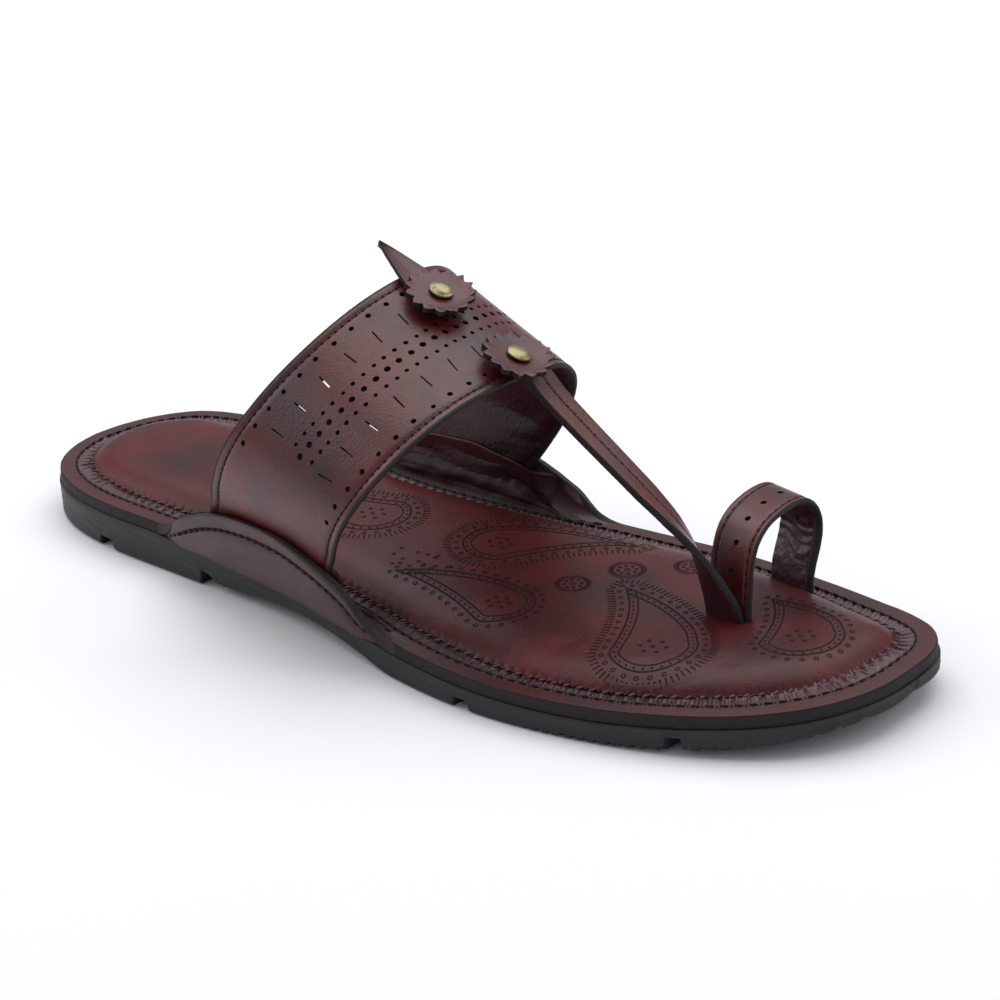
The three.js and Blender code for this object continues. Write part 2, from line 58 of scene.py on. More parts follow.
# The midsole's outline: x, sideways reach on the outer and on the inner side.
OUTLINE = np.array([
    (0, 0, 1.8), (1.5, 8.6, 11.3), (6, 17.7, 22), (14, 25, 31.2), (26, 30.4, 36), (45, 34, 37.4),
    (70, 35.5, 36), (95, 37, 34.4), (120, 39.7, 34), (145, 44.3, 36.5), (170, 49, 41),
    (190, 51, 43.5), (208, 50.3, 44.8), (225, 47.5, 43.7), (240, 43.5, 41), (255, 37.5, 37.5),
    (268, 29.7, 33.7), (277, 20.8, 29), (282, 12, 23.2), (284.5, 3, 16.5), (285, -4.5, 9)])

# Heights along the foot: x, underside of the tread, top of the rubber, top of the midsole.
HEIGHTS = np.array([
    (-1, 0, 10.2, 13.8), (30, 0, 10.2, 13.8), (60, 0, 10.6, 14.2), (83, 0, 10.2, 13.8),
    (83.4, 4.2, 10.2, 13.8), (86.5, 3.8, 10, 13.6), (91, 1.9, 9.8, 13.4), (100, 2.6, 9.1, 12.7),
    (113, 3.8, 8.7, 12.3), (126, 4.2, 8.5, 12.1), (139, 3.7, 8, 11.6), (152, 2, 7.5, 11.1),
    (165, 0, 6.6, 10.2), (185, 0, 5.8, 9.4), (208, 0, 5.4, 9), (228, 0, 5.6, 9.2),
    (242, .6, 6.4, 9.9), (256, 1.8, 7.3, 10.7), (270, 3.6, 8.4, 11.8), (286, 6.2, 9.6, 12.9)])

# Raw upper edge of the ears: x, height on the outer and on the inner side.
EAR_EDGE = np.array([
    (60, 13.9, 13.8), (68, 15.8, 15.4), (76, 19.1, 17.6), (84, 22.8, 20.8), (92, 25.7, 24),
    (101, 27.5, 26.4), (112, 28.2, 28.2), (122, 27.9, 28.4), (132, 26.2, 26.6), (142, 23.5, 24.2),
    (149, 20.6, 21.1), (155, 16, 17.8), (162, 12.8, 14.4), (172, 9.9, 10.8), (179, 9.4, 9.5)])

# The instep band, outer side to inner side: sideways place and height of its rear and front edge.
BAND_SECTIONS = np.array([
    (-44.6, 38, -50.6, 35.5), (-46.8, 47, -51.6, 43), (-46.2, 55, -49.6, 50), (-43, 62, -46, 56),
    (-38, 69, -40.6, 61.4), (-31, 75.4, -33.6, 65.6), (-22.5, 81, -25, 68.4),
    (-12, 85.4, -14.5, 69.4), (0, 87.6, -3, 69), (11, 87.2, 8.5, 67.6), (21, 83.4, 18.5, 64.6),
    (29, 76.6, 27, 59.2), (35, 67, 33.6, 52), (38.6, 56, 38, 43.5), (40.2, 42.5, 40.2, 34.5)])
BAND_FEET = np.array([(12.6, 11.4), (19.5, 19.5), (27, 27)])    # heights inside the ears
REAR_EDGE = (93.6, .658)    # x of the band's rear edge at ear height, and its forward lean
FRONT_EDGE = (146, .695)
EAR_TOP = 27
SIDE_LEAN, LEAN_FOOT = .18, 12
STRAP_LEATHER, EDGE_THICK = 2.4, 1.25       # the straps are pared thin towards their edges

# The toe loop's outer face, outer side to inner side: sideways place and height.
LOOP_SECTIONS = np.array([
    (2.2, 10.6), (3.1, 15.2), (4.9, 21.4), (7.2, 27.8), (10.4, 32.4), (15, 35.3),
    (21, 36.8), (27.3, 37.2), (33.4, 36.2), (37.2, 33.4), (38.9, 29.6), (38.5, 25.4),
    (36.6, 21.6), (34, 17.8), (32.2, 14.4), (31.2, 10.4)])
LOOP_MIDDLE, LOOP_HALF, LOOP_LEAN, LOOP_FOOT, LOOP_SKEW = 232.4, 7.4, -.12, 14, 3.6

# The centre strap: middle (x, y, z), turn about its own length in degrees, width.
CENTRE_SECTIONS = np.array([
    (163, 1.4, 75.1, 0, 9), (169, 1.5, 72.4, 0, 9), (175.2, 1.6, 69.7, 0, 9),
    (181.4, 1.8, 63.8, 0, 8.6), (190, 2, 57.2, -2, 8.4), (200, 2, 50.2, -4, 8.2),
    (210, 2.1, 43.1, -8, 8.2), (217.6, 2.3, 37.2, -20, 8.2), (223.6, 2.6, 31, -42, 8.6),
    (228.4, 2.8, 24, -66, 9.4), (232, 2.9, 16.8, -84, 10.8), (233.6, 2.9, 11.2, -90, 11.6)])
CENTRE_LEATHER = 2.0

# Cross grooves of the tread: middle, slant in degrees, width, depth.
GROOVES = [(43.5, 3, 6, 2.8), (200, 10, 5, 2.8), (253, 6, 4, 4.6)]

OUTSOLE_LIP = .6                            # the rubber stands out beyond the midsole
TOOTH_PITCH, TOOTH_DEPTH = 3.1, .9          # small teeth of the tread under the toes
BOARD_DEEP, BOARD_TALL = 1.1, 1.75          # half the board's raw edge, across and up
PAD_LIP, PAD_RISE, PAD_SHOULDER = .5, 4.5, 11       # the cushion's edge, crown and shoulder
FILL_PRESSURE, FILL_FRAMES, FILL_RISE = 4.0, 20, .9
FOOT_DIP, FOOT_AT, FOOT_REACH = 1.3, (234, 3), 15   # the straps' feet press the cushion down
SEAM_PITCH = 3.5                            # one stitch of the seam that holds the footbed
HOLE_SHADE_LENGTH, HOLE_SHADE_WIDTH, HOLE_SHADE_HEIGHT = .62, .8, .3     # size of the dark lens of painted shade where a thread goes into the leather
EAR_SEAM, EAR_PITCH = 5.2, 3.0              # the ears' outer stitches: below the edge, apart
GROOVE_COLUMN, PULL_PITCH = 9, 4.4          # the stitched groove of the ears' lining

# Rows of round holes in the band: v, first and last millimetre along it, pitch, width.
BAND_HOLES = [(.494, 53.4, 166, 4.0, 1.75), (.418, 56.4, 170, 3.55, 1.25),
              (.582, 53.1, 162, 3.4, 1.25), (.117, 51.1, 188, 5.95, 1.5), (.885, 36.8, 168, 6.1, 1.5)]
# Rows of slits across the band: v of both ends, first and last millimetre along it, pitch.
BAND_SLITS, SLIT_WIDTH = [(.219, .325, 57.5, 180, 9.0), (.663, .772, 50, 160, 9.1)], .46
BAND_STITCHES, LOOP_STITCHES = (.057, .943), (.125, .875)   # v of the rear and front stitch row
LOOP_HOLES = (.54, 14.6, 62, 7.4)           # v, first and last millimetre, pitch
LOOP_HOLE = 1.7

ROSETTE_TIP, ROSETTE_ROOT, ROSETTE_TEETH, ROSETTE_LEATHER = 9.9, 8.0, 15, 1.6
LEAF_LENGTH, LEAF_HALF, LEAF_LEATHER = 25, 4.8, 1.4
LEAF_SEAT, FRONT_SEAT, GAP = .45, 2.6, .3   # heights over the band, and the space between layers


# ---------------------------------------------------------------- curves and grids

def smooth(low, high, x):
    """0 below low, 1 above high, and the soft step 3t^2 - 2t^3 between."""
    t = np.clip((x - low) / (high - low), 0, 1)
    return t * t * (3 - 2 * t)


def bell(x, middle, width):
    """A soft ridge of height 1: e to the minus square of the distance in widths."""
    return np.exp(-((x - middle) / width) ** 2)


def mix(a, b, t):
    """a where t is 0, b where t is 1."""
    return a + (b - a) * t


def unit(v):
    """Vectors of length 1 along the last axis."""
    return v / np.maximum(np.linalg.norm(v, axis=-1, keepdims=True), 1e-9)


def catmull(points, t, closed=False):
    """Points on the centripetal Catmull-Rom curve through points, t from 0 to 1: each stretch is
    a cubic whose end slopes come from its neighbours, with knots spaced by the square root of
    the distance between points."""
    points, t = np.asarray(points, float), np.asarray(t, float)
    last = len(points) - (0 if closed else 1)
    at = np.clip(t, 0, 1) * last
    first = np.minimum(np.floor(at).astype(int), last - 1)
    w = (at - first).reshape(-1, *[1] * (points.ndim - 1))
    ahead = points[:2] if closed else 2 * points[-1:] - points[-2:-1]
    behind = points[-1:] if closed else 2 * points[:1] - points[1:2]
    row = np.concatenate([behind, points, ahead])
    a, b, c, d = (row[first + k] for k in range(4))
    ab, bc, cd = (np.sqrt(np.linalg.norm(q - p, axis=-1, keepdims=True))
                  for p, q in ((a, b), (b, c), (c, d)))
    start = ((b - a) / ab - (c - a) / (ab + bc) + (c - b) / bc) * bc
    end = ((c - b) / bc - (d - b) / (bc + cd) + (d - c) / cd) * bc
    return ((2 * w ** 3 - 3 * w ** 2 + 1) * b + (w ** 3 - 2 * w ** 2 + w) * start
            + (3 * w ** 2 - 2 * w ** 3) * c + (w ** 3 - w ** 2) * end)


def column(table, key):
    """A table's column as a function of its first: cubics whose slopes are the harmonic mean of
    the steps on both sides, and zero at ends and turns, so that the curve never overshoots."""
    xs, values = table[:, 0], table[:, key]
    steps = np.diff(values) / np.diff(xs)
    before, after = steps[:-1], steps[1:]
    total = np.where(before * after > 0, before + after, 1)
    slopes = np.zeros(len(xs))
    slopes[1:-1] = np.where(before * after > 0, 2 * before * after / total, 0)

    def at(x):
        x = np.clip(x, xs[0], xs[-1])
        i = np.clip(np.searchsorted(xs, x, side="right") - 1, 0, len(xs) - 2)
        wide = xs[i + 1] - xs[i]
        t = (x - xs[i]) / wide
        lift = slopes[i] * t * (1 - t) ** 2 - slopes[i + 1] * t * t * (1 - t)
        return mix(values[i], values[i + 1], t * t * (3 - 2 * t)) + lift * wide
    return at


def arc_along(points):
    """Distance along a row of points, or along the first axis of a grid."""
    step = np.linalg.norm(np.diff(points, axis=0), axis=-1)
    return np.concatenate([np.zeros_like(step[:1]), np.cumsum(step, axis=0)])


def facing(grid, wrap=False):
    """Unit normals of a grid: the cross product of its two directions."""
    if wrap:
        along = np.roll(grid, -1, axis=0) - np.roll(grid, 1, axis=0)
    else:
        along = np.gradient(grid, axis=0)
    return unit(np.cross(along, np.gradient(grid, axis=1)))


def sample(grid, u, v):
    """Values of a grid at fractions u and v of its two directions, mixed from the four nearest."""
    rows, cols = np.clip(u, 0, 1) * (grid.shape[0] - 1), np.clip(v, 0, 1) * (grid.shape[1] - 1)
    i = np.minimum(rows.astype(int), grid.shape[0] - 2)
    j = np.minimum(cols.astype(int), grid.shape[1] - 2)
    a, b = (rows - i)[..., None], (cols - j)[..., None]
    return mix(mix(grid[i, j], grid[i + 1, j], a), mix(grid[i, j + 1], grid[i + 1, j + 1], a), b)


def wander(count, step, seed, wrap=True):
    """Soft random values from -1 to 1 along a row: random numbers every few places, with a soft
    step between neighbours."""
    knots = np.random.default_rng(seed).uniform(-1, 1, max(count // step, 2) + 1)
    if wrap:
        knots[-1] = knots[0]
    at = np.arange(count) / count * (len(knots) - 1)
    i = at.astype(int)
    return mix(knots[i], knots[i + 1], smooth(0, 1, at - i))


tread, rubber_top, rim_top = (column(HEIGHTS, k) for k in (1, 2, 3))
ear_top = {-1: column(EAR_EDGE, 1), 1: column(EAR_EDGE, 2)}

# The outline as one closed curve: heel, outer side, toe, inner side.
KNOTS = np.concatenate([np.c_[OUTLINE[:, 0], -OUTLINE[:, 1]], OUTLINE[::-1, [0, 2]]])
RING_COUNT = 1440


def outline_at(t):
    """The outline and its outward direction at a fraction t of the closed curve."""
    step = 2e-4
    along = unit(catmull(KNOTS, (t + step) % 1, True) - catmull(KNOTS, (t - step) % 1, True))
    return catmull(KNOTS, t % 1, True), np.stack([along[:, 1], -along[:, 0]], -1)


def even_ring():
    """The outline at even distances: fractions whose distance along the curve is even."""
    t = np.arange(8 * RING_COUNT) / (8 * RING_COUNT)
    fine = catmull(KNOTS, t, True)
    gone = arc_along(np.concatenate([fine, fine[:1]]))
    even = np.interp(np.arange(RING_COUNT) / RING_COUNT * gone[-1], gone, np.append(t, 1))
    return even, gone[-1]


ring_t, ring_length = even_ring()
ring, ring_out = outline_at(ring_t)
ring_arc = np.arange(RING_COUNT) / RING_COUNT * ring_length
ring_side = np.where(ring_t < .5, -1, 1)
SEAM_STITCHES = round(ring_length / SEAM_PITCH)

middle = [(low + high) / 2 / MM for low, high in zip(*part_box("midsole"))]
SHIFT = np.array([middle[0] - (ring[:, 0].min() + ring[:, 0].max()) / 2,
                  middle[1] - (ring[:, 1].min() + ring[:, 1].max()) / 2, 0])


def both_sides(stations):
    """Fractions of the closed curve at even distances along the outer side, from heel to toe, and
    the matching fractions on the inner side."""
    fine = np.linspace(0, len(OUTLINE) - 1, 8000) / len(KNOTS)
    gone = arc_along(outline_at(fine)[0])
    t = np.interp(np.linspace(0, gone[-1], stations), gone, fine)
    return t, (len(KNOTS) - 1) / len(KNOTS) - t


def place(points):
    """Millimetres in the shoe's frame as metres in the scene's."""
    return (np.asarray(points, float) + SHIFT) * MM


def side_reach(side, x):
    """Sideways place of the outline on one side at x."""
    half = ring[ring_side == side]
    half = half[np.argsort(half[:, 0])]
    return np.interp(x, half[:, 0], half[:, 1])


def wall(side, x, z, out=0.0):
    """Sideways place of the band inside an ear: the outline leaning outward with height."""
    return side_reach(side, x) + side * (SIDE_LEAN * (z - LEAN_FOOT) + out)


# ---------------------------------------------------------------- meshes

def quads(nu, nv, wrap_u, wrap_v):
    """Corner numbers of a grid's quads; wrapped directions join their end to their start."""
    i = np.arange(nu if wrap_u else nu - 1)[:, None]
    j = np.arange(nv if wrap_v else nv - 1)[None, :]
    k, m = (i + 1) % nu, (j + 1) % nv
    corners = [i * nv + j, k * nv + j, k * nv + m, i * nv + m]
    return np.stack(np.broadcast_arrays(*corners), -1).reshape(-1, 4)


def fan(rim, hub):
    """Triangles from each edge of a closed rim to a hub."""
    return np.stack([rim, np.roll(rim, -1), np.full(len(rim), hub)], -1)


def volume(points, faces):
    """Enclosed volume: a third of the sum of each face's area vector times one of its corners."""
    total = 0.0
    for f in faces:
        a, b, c, d = (points[f[:, k]] for k in (0, 1, 2, -1))
        total += (np.cross(c - a, d - b) * a).sum() / 6
    return total


def piece(name, points, faces, finishes, which=None, closed=True, soft=True):
    """A mesh object from millimetre points and arrays of faces with 3 or 4 corners, turned so
    that a closed one faces outward. which gives each face the number of its finish."""
    if closed and volume(points, faces) < 0:
        faces = [f[:, ::-1] for f in faces]
    mesh = bpy.data.meshes.new(name)
    mesh.vertices.add(len(points))
    mesh.vertices.foreach_set("co", place(points).astype(np.float32).ravel())
    sizes = np.concatenate([np.full(len(f), f.shape[1]) for f in faces])
    mesh.loops.add(int(sizes.sum()))
    mesh.loops.foreach_set("vertex_index", np.concatenate([f.ravel() for f in faces]).astype(np.int32))
    mesh.polygons.add(len(sizes))
    mesh.polygons.foreach_set("loop_start", np.concatenate([[0], np.cumsum(sizes)[:-1]]).astype(np.int32))
    mesh.polygons.foreach_set("use_smooth", np.full(len(sizes), soft))
    for finish in finishes:
        mesh.materials.append(finish)
    if which is not None:
        mesh.polygons.foreach_set("material_index", np.asarray(which, np.int32))
    mesh.update(calc_edges=True)
    mesh.validate()
    thing = bpy.data.objects.new(name, mesh)
    bpy.context.collection.objects.link(thing)
    return thing


def tube(name, grid, finishes, wrap_u=False, which=None):
    """A closed solid from sections grid[u, v]: v wraps round each section, and u either wraps
    or ends in two fans. which gives the finish of each strip of faces round the section."""
    nu, nv = grid.shape[:2]
    points = grid.reshape(-1, 3)
    faces = [quads(nu, nv, wrap_u, True)]
    strips = np.zeros(nv, int) if which is None else np.asarray(which)
    numbers = [np.tile(strips, nu if wrap_u else nu - 1)]
    if not wrap_u:
        hubs = np.stack([grid[0].mean(0), grid[-1].mean(0)])
        faces.append(fan(np.arange(nv), len(points)))
        faces.append(fan(np.arange(nv)[::-1] + (nu - 1) * nv, len(points) + 1))
        numbers += [np.full(2 * nv, strips.max())]
        points = np.concatenate([points, hubs])
    return piece(name, points, faces, finishes, np.concatenate(numbers))


def scatter(name, shape, centres, axes, finishes):
    """Copies of a small shape (points, faces) at centres, on axes[k] = along, across, up."""
    points, faces = shape
    spots = centres[:, None] + np.einsum("pi,kij->kpj", points, axes)
    shift = (np.arange(len(centres)) * len(points))[:, None, None]
    return piece(name, spots.reshape(-1, 3), [(f[None] + shift).reshape(-1, f.shape[1]) for f in faces],
                 finishes)


def drop(length, width, height, rings=5, sides=6):
    """A lying grain: sideways rings of an ellipsoid between two closed poles."""
    a = np.linspace(0, pi, rings + 2)[1:-1, None]
    b = np.arange(sides) / sides * 2 * pi
    body = np.stack(np.broadcast_arrays(np.cos(a) * length / 2, np.sin(a) * np.cos(b) * width / 2,
                                        np.sin(a) * np.sin(b) * height / 2), -1).reshape(-1, 3)
    poles = np.array([(length / 2, 0, 0), (-length / 2, 0, 0)])
    count = rings * sides
    faces = [quads(rings, sides, False, True), fan(np.arange(sides), count),
             fan(np.arange(sides)[::-1] + count - sides, count + 1)]
    return np.concatenate([body, poles]), faces


def frames_on(along, up):
    """Axes for scatter: along made perpendicular to up, and the third from both."""
    up = unit(up)
    along = unit(along - (along * up).sum(-1, keepdims=True) * up)
    return np.stack([along, np.cross(up, along), up], 1)


def seam(name, points, up, pitch, finish, slot, length=None, sink=0.0, width=.75, height=.6,
         twist=0.0, hole_shade=None):
    """A row of stitches along a path: one grain of thread every pitch, sunk into the leather,
    and between two grains a dark lens, painted shade of the hole where the thread goes down."""
    gone = arc_along(points)
    count = max(int(gone[-1] // pitch), 1)
    at = (np.arange(count) + .5) * gone[-1] / count
    pick = lambda row, s: np.stack([np.interp(s, gone, row[:, k]) for k in range(3)], -1)

    def laid(s):
        top = unit(pick(up, s))
        return pick(points, s), top, frames_on(pick(points, s + .4) - pick(points, s - .4), top)

    spot, top, axes = laid(at)
    if twist:
        axes = frames_on(axes[:, 0] * cos(twist) + axes[:, 1] * sin(twist), top)
    grain = drop(length or pitch * .66, width, height)
    thread = scatter(name, grain, spot - top * sink, axes, [finish])
    # painted shade: a small dark lens stands for the shadow in the hole where the thread goes down
    spot, top, axes = laid(at[:-1] + np.diff(at) / 2)
    shade_lens = drop(HOLE_SHADE_LENGTH, HOLE_SHADE_WIDTH, HOLE_SHADE_HEIGHT, 3, 8)
    hole_shades = scatter(name + "_pits", shade_lens, spot - top * (sink - .04), axes, [hole_shade or HOLE_SHADE])
    for thing in (thread, hole_shades):
        stands_for(thing, slot)


def applied(thing):
    """The object with its modifiers worked into its mesh."""
    evaluated = thing.evaluated_get(bpy.context.evaluated_depsgraph_get())
    mesh = bpy.data.meshes.new_from_object(evaluated)
    thing.modifiers.clear()
    thing.data = mesh
    return thing


def stands_for(thing, slot, *nodes):
    """Ties a piece to the frame by its body and hides the CAD nodes it replaces. slot is not used."""
    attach(thing, "root")
    if nodes:
        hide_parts(*nodes)
    return thing


# ---------------------------------------------------------------- finishes

class Wire:
    """A node's output socket. Arithmetic on it adds Math nodes to its material."""

    def __init__(self, finish, socket):
        self.finish, self.socket = finish, socket

    def math(self, operation, *others):
        values = dict(enumerate((self, *others)))
        return self.finish.add("ShaderNodeMath", {"operation": operation}, values)

    def __add__(self, other):
        return self.math("ADD", other)

    def __sub__(self, other):
        return self.math("SUBTRACT", other)

    def __mul__(self, other):
        return self.math("MULTIPLY", other)

    __radd__, __rmul__ = __add__, __mul__

    def size(self):
        return self.math("ABSOLUTE")

    def step(self, low, high):
        """0 below low, 1 above high, with a soft step between."""
        settings = {"interpolation_type": "SMOOTHSTEP"}
        return self.finish.add("ShaderNodeMapRange", settings, {0: self, 1: low, 2: high, 3: 0, 4: 1})


class Finish:
    """One material. add() takes any node's type, its settings, which are set first, and the
    values or links of its sockets, and gives back its output."""

    def __init__(self, name):
        self.material = bpy.data.materials.new(name)
        self.material.use_nodes = True
        self.nodes = self.material.node_tree.nodes
        self.links = self.material.node_tree.links
        self.nodes.clear()

    def add(self, kind, settings=None, sockets=None, out=0):
        node = self.nodes.new(kind)
        for key, value in (settings or {}).items():
            setattr(node, key, value)
        for key, value in (sockets or {}).items():
            if isinstance(value, Wire):
                self.links.new(value.socket, node.inputs[key])
            else:
                node.inputs[key].default_value = value
        return Wire(self, node.outputs[out]) if len(node.outputs) else node

    def spot(self):
        """The place on the object, in metres."""
        return self.add("ShaderNodeTexCoord", out="Object")

    def noise(self, where, size, detail=2.0, rough=.5):
        """Cloudy noise from 0 to 1 whose clouds are about size metres across."""
        sockets = {"Vector": where, "Scale": 1 / size, "Detail": detail, "Roughness": rough}
        return self.add("ShaderNodeTexNoise", sockets=sockets)

    def cells(self, where, size):
        """Softened distance to the nearest of many scattered points about size metres apart."""
        sockets = {"Vector": where, "Scale": 1 / size}
        return self.add("ShaderNodeTexVoronoi", {"feature": "SMOOTH_F1"}, sockets)

    def stretch(self, where, scale):
        """The place with each axis multiplied."""
        return self.add("ShaderNodeMapping", sockets={"Vector": where, "Scale": scale})

    def blend(self, amount, first, second):
        """Colour first where amount is 0, second where it is 1."""
        sockets = {"Factor": amount, 6: first, 7: second}
        return self.add("ShaderNodeMix", {"data_type": "RGBA"}, sockets, out=2)

    def bump(self, height, depth):
        """A normal from a height of 0 to 1 that stands for depth metres."""
        sockets = {"Height": height, "Distance": depth, "Strength": 1.0}
        return self.add("ShaderNodeBump", sockets=sockets)

    def shade(self, **sockets):
        """The surface: sockets are the shader's, with _ for a space."""
        named = {key.replace("_", " "): value for key, value in sockets.items()}
        surface = self.add("ShaderNodeBsdfPrincipled", sockets=named)
        self.add("ShaderNodeOutputMaterial", sockets={"Surface": surface})
        return self.material


def tint(red, green, blue):
    """A colour from display values of 0 to 255, as the shader's linear values."""
    value = np.array([red, green, blue]) / 255
    linear = np.where(value <= .04045, value / 12.92, ((value + .055) / 1.055) ** 2.4)
    return (*(float(v) for v in linear), 1.0)


def leather(name, plain, warm, dark, rough=.42, grain=.00065, depth=.00011, coat=.12, shine=.5):
    """Polished hide: fine cell grain, wide warm and dark clouds, and gloss that varies."""
    f = Finish(name)
    where = f.spot()
    wide = f.noise(where, .022, 3).step(.36, .66)
    low = f.noise(where, .009, 4, .6).step(.42, .8)
    burnt = f.noise(where, .034, 2).step(.46, .72)
    grit = f.noise(where, .0012, 4, .7)
    colour = f.blend(wide, plain, warm)
    colour = f.blend(burnt * .6, colour, dark)
    colour = f.blend(low * .6, colour, dark)
    colour = f.blend((grit - .5).size() * .5, colour, dark)
    warped = f.add("ShaderNodeVectorMath", {"operation": "MULTIPLY_ADD"}, {
        0: f.add("ShaderNodeTexNoise", sockets={"Vector": where, "Scale": 900}, out="Color"),
        1: (.0006, .0006, .0006), 2: where})
    pebble = f.cells(warped, grain)
    folds = f.noise(where, .0035, 3, .6)
    height = pebble * .6 + folds * .5 + grit * .25
    gloss = f.noise(where, .006, 3) * .16 + (rough - .08) + grit * .06
    return f.shade(Base_Color=colour, Roughness=gloss, Normal=f.bump(height, depth),
                   Coat_Weight=coat, Coat_Roughness=.24, Specular_IOR_Level=shine)


def edge_finish(name, plain, fibrous, scuffed):
    """Raw edge of leather board: dark, dry and fibrous, with paler scuffs."""
    f = Finish(name)
    where = f.spot()
    fibre = f.noise(f.stretch(where, (1, 1, 2.4)), .0009, 5, .75)
    scuff = f.noise(where, .0045, 4, .7).step(.56, .78)
    colour = f.blend(fibre.step(.3, .75), plain, fibrous)
    colour = f.blend(scuff * .4, colour, scuffed)
    return f.shade(Base_Color=colour, Roughness=fibre * .2 + .6, Normal=f.bump(fibre, .00022),
                   Specular_IOR_Level=.4)


def rubber():
    """Moulded rubber: nearly black, with faint lines along the edge and dull smears."""
    f = Finish("sole_rubber")
    where = f.spot()
    lines = f.noise(f.stretch(where, (.05, .05, 1)), .0011, 3, .6)
    smear = f.noise(f.stretch(where, (.3, .3, 1)), .012, 4, .6).step(.4, .75)
    grit = f.noise(where, .0007, 3, .7)
    colour = f.blend(smear, tint(20, 20, 23), tint(36, 36, 40))
    colour = f.blend(lines.step(.45, .75) * .45, colour, tint(50, 50, 55))
    height = lines * .7 + grit * .3
    return f.shade(Base_Color=colour, Roughness=smear * .14 + .5, Normal=f.bump(height, .00018),
                   Specular_IOR_Level=.45)


def brass():
    """Antiqued brass: worn bright and brown in soft cloudy patches, with fine scratches."""
    f = Finish("antique_brass")
    where = f.spot()
    cloud = f.noise(where, .0022, 4, .65).step(.42, .72)
    scratch = f.noise(f.stretch(where, (1, 6, 1)), .0012, 3, .6)
    colour = f.blend(cloud * .8, tint(150, 141, 110), tint(92, 80, 56))
    return f.shade(Base_Color=colour, Metallic=1.0, Roughness=cloud * .16 + .34,
                   Normal=f.bump(scratch, .00002))


def flat_finish(name, colour, other, rough, shine=.5):
    """A small plain part: two close shades in fine noise, with a little relief."""
    f = Finish(name)
    grit = f.noise(f.spot(), .0008, 3, .7)
    return f.shade(Base_Color=f.blend(grit.step(.35, .7), colour, other), Roughness=grit * .15 + rough,
                   Normal=f.bump(grit, .00004), Specular_IOR_Level=shine)


def floor_finish():
    """Pale paper: two close whites and no visible grain."""
    f = Finish("pale_floor")
    cloud = f.noise(f.spot(), .4, 2)
    return f.shade(Base_Color=f.blend(cloud, tint(249, 249, 251), tint(252, 252, 253)), Roughness=.7,
                   Specular_IOR_Level=.2)


STRAP = leather("strap_leather", tint(76, 22, 26), tint(92, 18, 20), tint(34, 11, 14), rough=.36)
EAR = leather("ear_leather", tint(62, 24, 31), tint(68, 21, 26), tint(32, 13, 18), rough=.42)
PAD = leather("footbed_leather", tint(82, 22, 26), tint(94, 17, 21), tint(44, 13, 17), rough=.4, coat=.06,
              shine=.27)
RIM = leather("rim_leather", tint(70, 26, 29), tint(76, 21, 24), tint(32, 14, 17), rough=.4, shine=.36)
FOLD = leather("ear_lining", tint(46, 17, 20), tint(56, 15, 17), tint(24, 9, 11), rough=.46, grain=.0011,
               depth=.00016, coat=0, shine=.22)
LINING = leather("lining", tint(68, 22, 34), tint(52, 15, 22), tint(26, 9, 14), rough=.34, grain=.0011,
                 depth=.0002)
SEAM = leather("seam_leather", tint(92, 56, 60), tint(80, 42, 45), tint(50, 28, 31), rough=.42)
EDGE = edge_finish("edge_paint", tint(16, 12, 13), tint(38, 31, 32), tint(66, 58, 57))
RAW_EDGE = edge_finish("ear_raw_edge", tint(30, 24, 23), tint(66, 56, 52), tint(92, 82, 76))
RUBBER = rubber()
BRASS = brass()
THREAD = flat_finish("waxed_thread", tint(20, 7, 9), tint(38, 16, 18), .55, shine=.2)
PALE_THREAD = flat_finish("worn_thread", tint(92, 62, 64), tint(58, 34, 36), .45)
# painted shade: the dark lenses that stand for the shadow inside needle holes
HOLE_SHADE = flat_finish("hole_shade", tint(8, 4, 5), tint(14, 8, 9), .8)
INK = flat_finish("ink", tint(18, 10, 13), tint(36, 20, 23), .6, shine=.15)
# a paler painted shade for the needle holes of the footbed's seam rows
SHADE = flat_finish("needle_hole_shade", tint(28, 13, 15), tint(40, 20, 22), .7)


# ---------------------------------------------------------------- sole

def outsole():
    """Rubber sole. Each cross-section is a loop: up the outer wall, over the top, down the
    inner wall and back along the tread. The wall swells in shallow ribs, and the tread's height
    is the foot's arch curve, raised in the cross grooves and in small teeth under the toes."""
    (outer, outer_out), (inner, inner_out) = (outline_at(t) for t in both_sides(760))

    def under(x, y):
        teeth = smooth(206, 216, x) * np.clip(np.sin(2 * pi * x / TOOTH_PITCH), 0, 1) * TOOTH_DEPTH
        z = tread(x) + teeth * smooth(0, 4, 60 - np.abs(y))
        for centre, slant, width, depth in GROOVES:
            off = np.abs((x - centre) * cos(radians(slant)) - y * sin(radians(slant)))
            z = np.maximum(z, depth * smooth(width / 2 + .3, width / 2 - .1, off))
        return z

    levels = np.array([0, .02, .06, .12, .2, .28, .36, .42, .48, .54, .6, .66, .72, .8, .88, .94, .98, 1])
    ribs = .16 * bell(levels, .36, .05) + .16 * bell(levels, .6, .05) + .14 * bell(levels, .83, .05)
    swell = OUTSOLE_LIP - (1 - levels / .12).clip(0, 1) ** 2 - .14 * smooth(.95, 1, levels) - ribs

    def side(line, out):
        spot = line[:, None] + out[:, None] * swell[None, :, None]
        low = under(spot[..., 0], spot[..., 1])
        z = mix(low, rubber_top(spot[..., 0]), levels[None])
        return np.concatenate([spot, z[..., None]], -1)

    left, right = side(outer, outer_out), side(inner, inner_out)
    across = np.linspace(0, 1, 44)[None, 1:-1, None]
    floor = mix(right[:, :1], left[:, :1], across)
    floor[..., 2] = under(floor[..., 0], floor[..., 1])
    top = mix(left[:, -1:], right[:, -1:], np.linspace(0, 1, 6)[None, 1:-1, None])
    loop = np.concatenate([left, top, right[:, ::-1], floor], 1)
    sole = tube("outsole_rubber", loop, [RUBBER])
    return stands_for(sole, "rubber", "outsole")


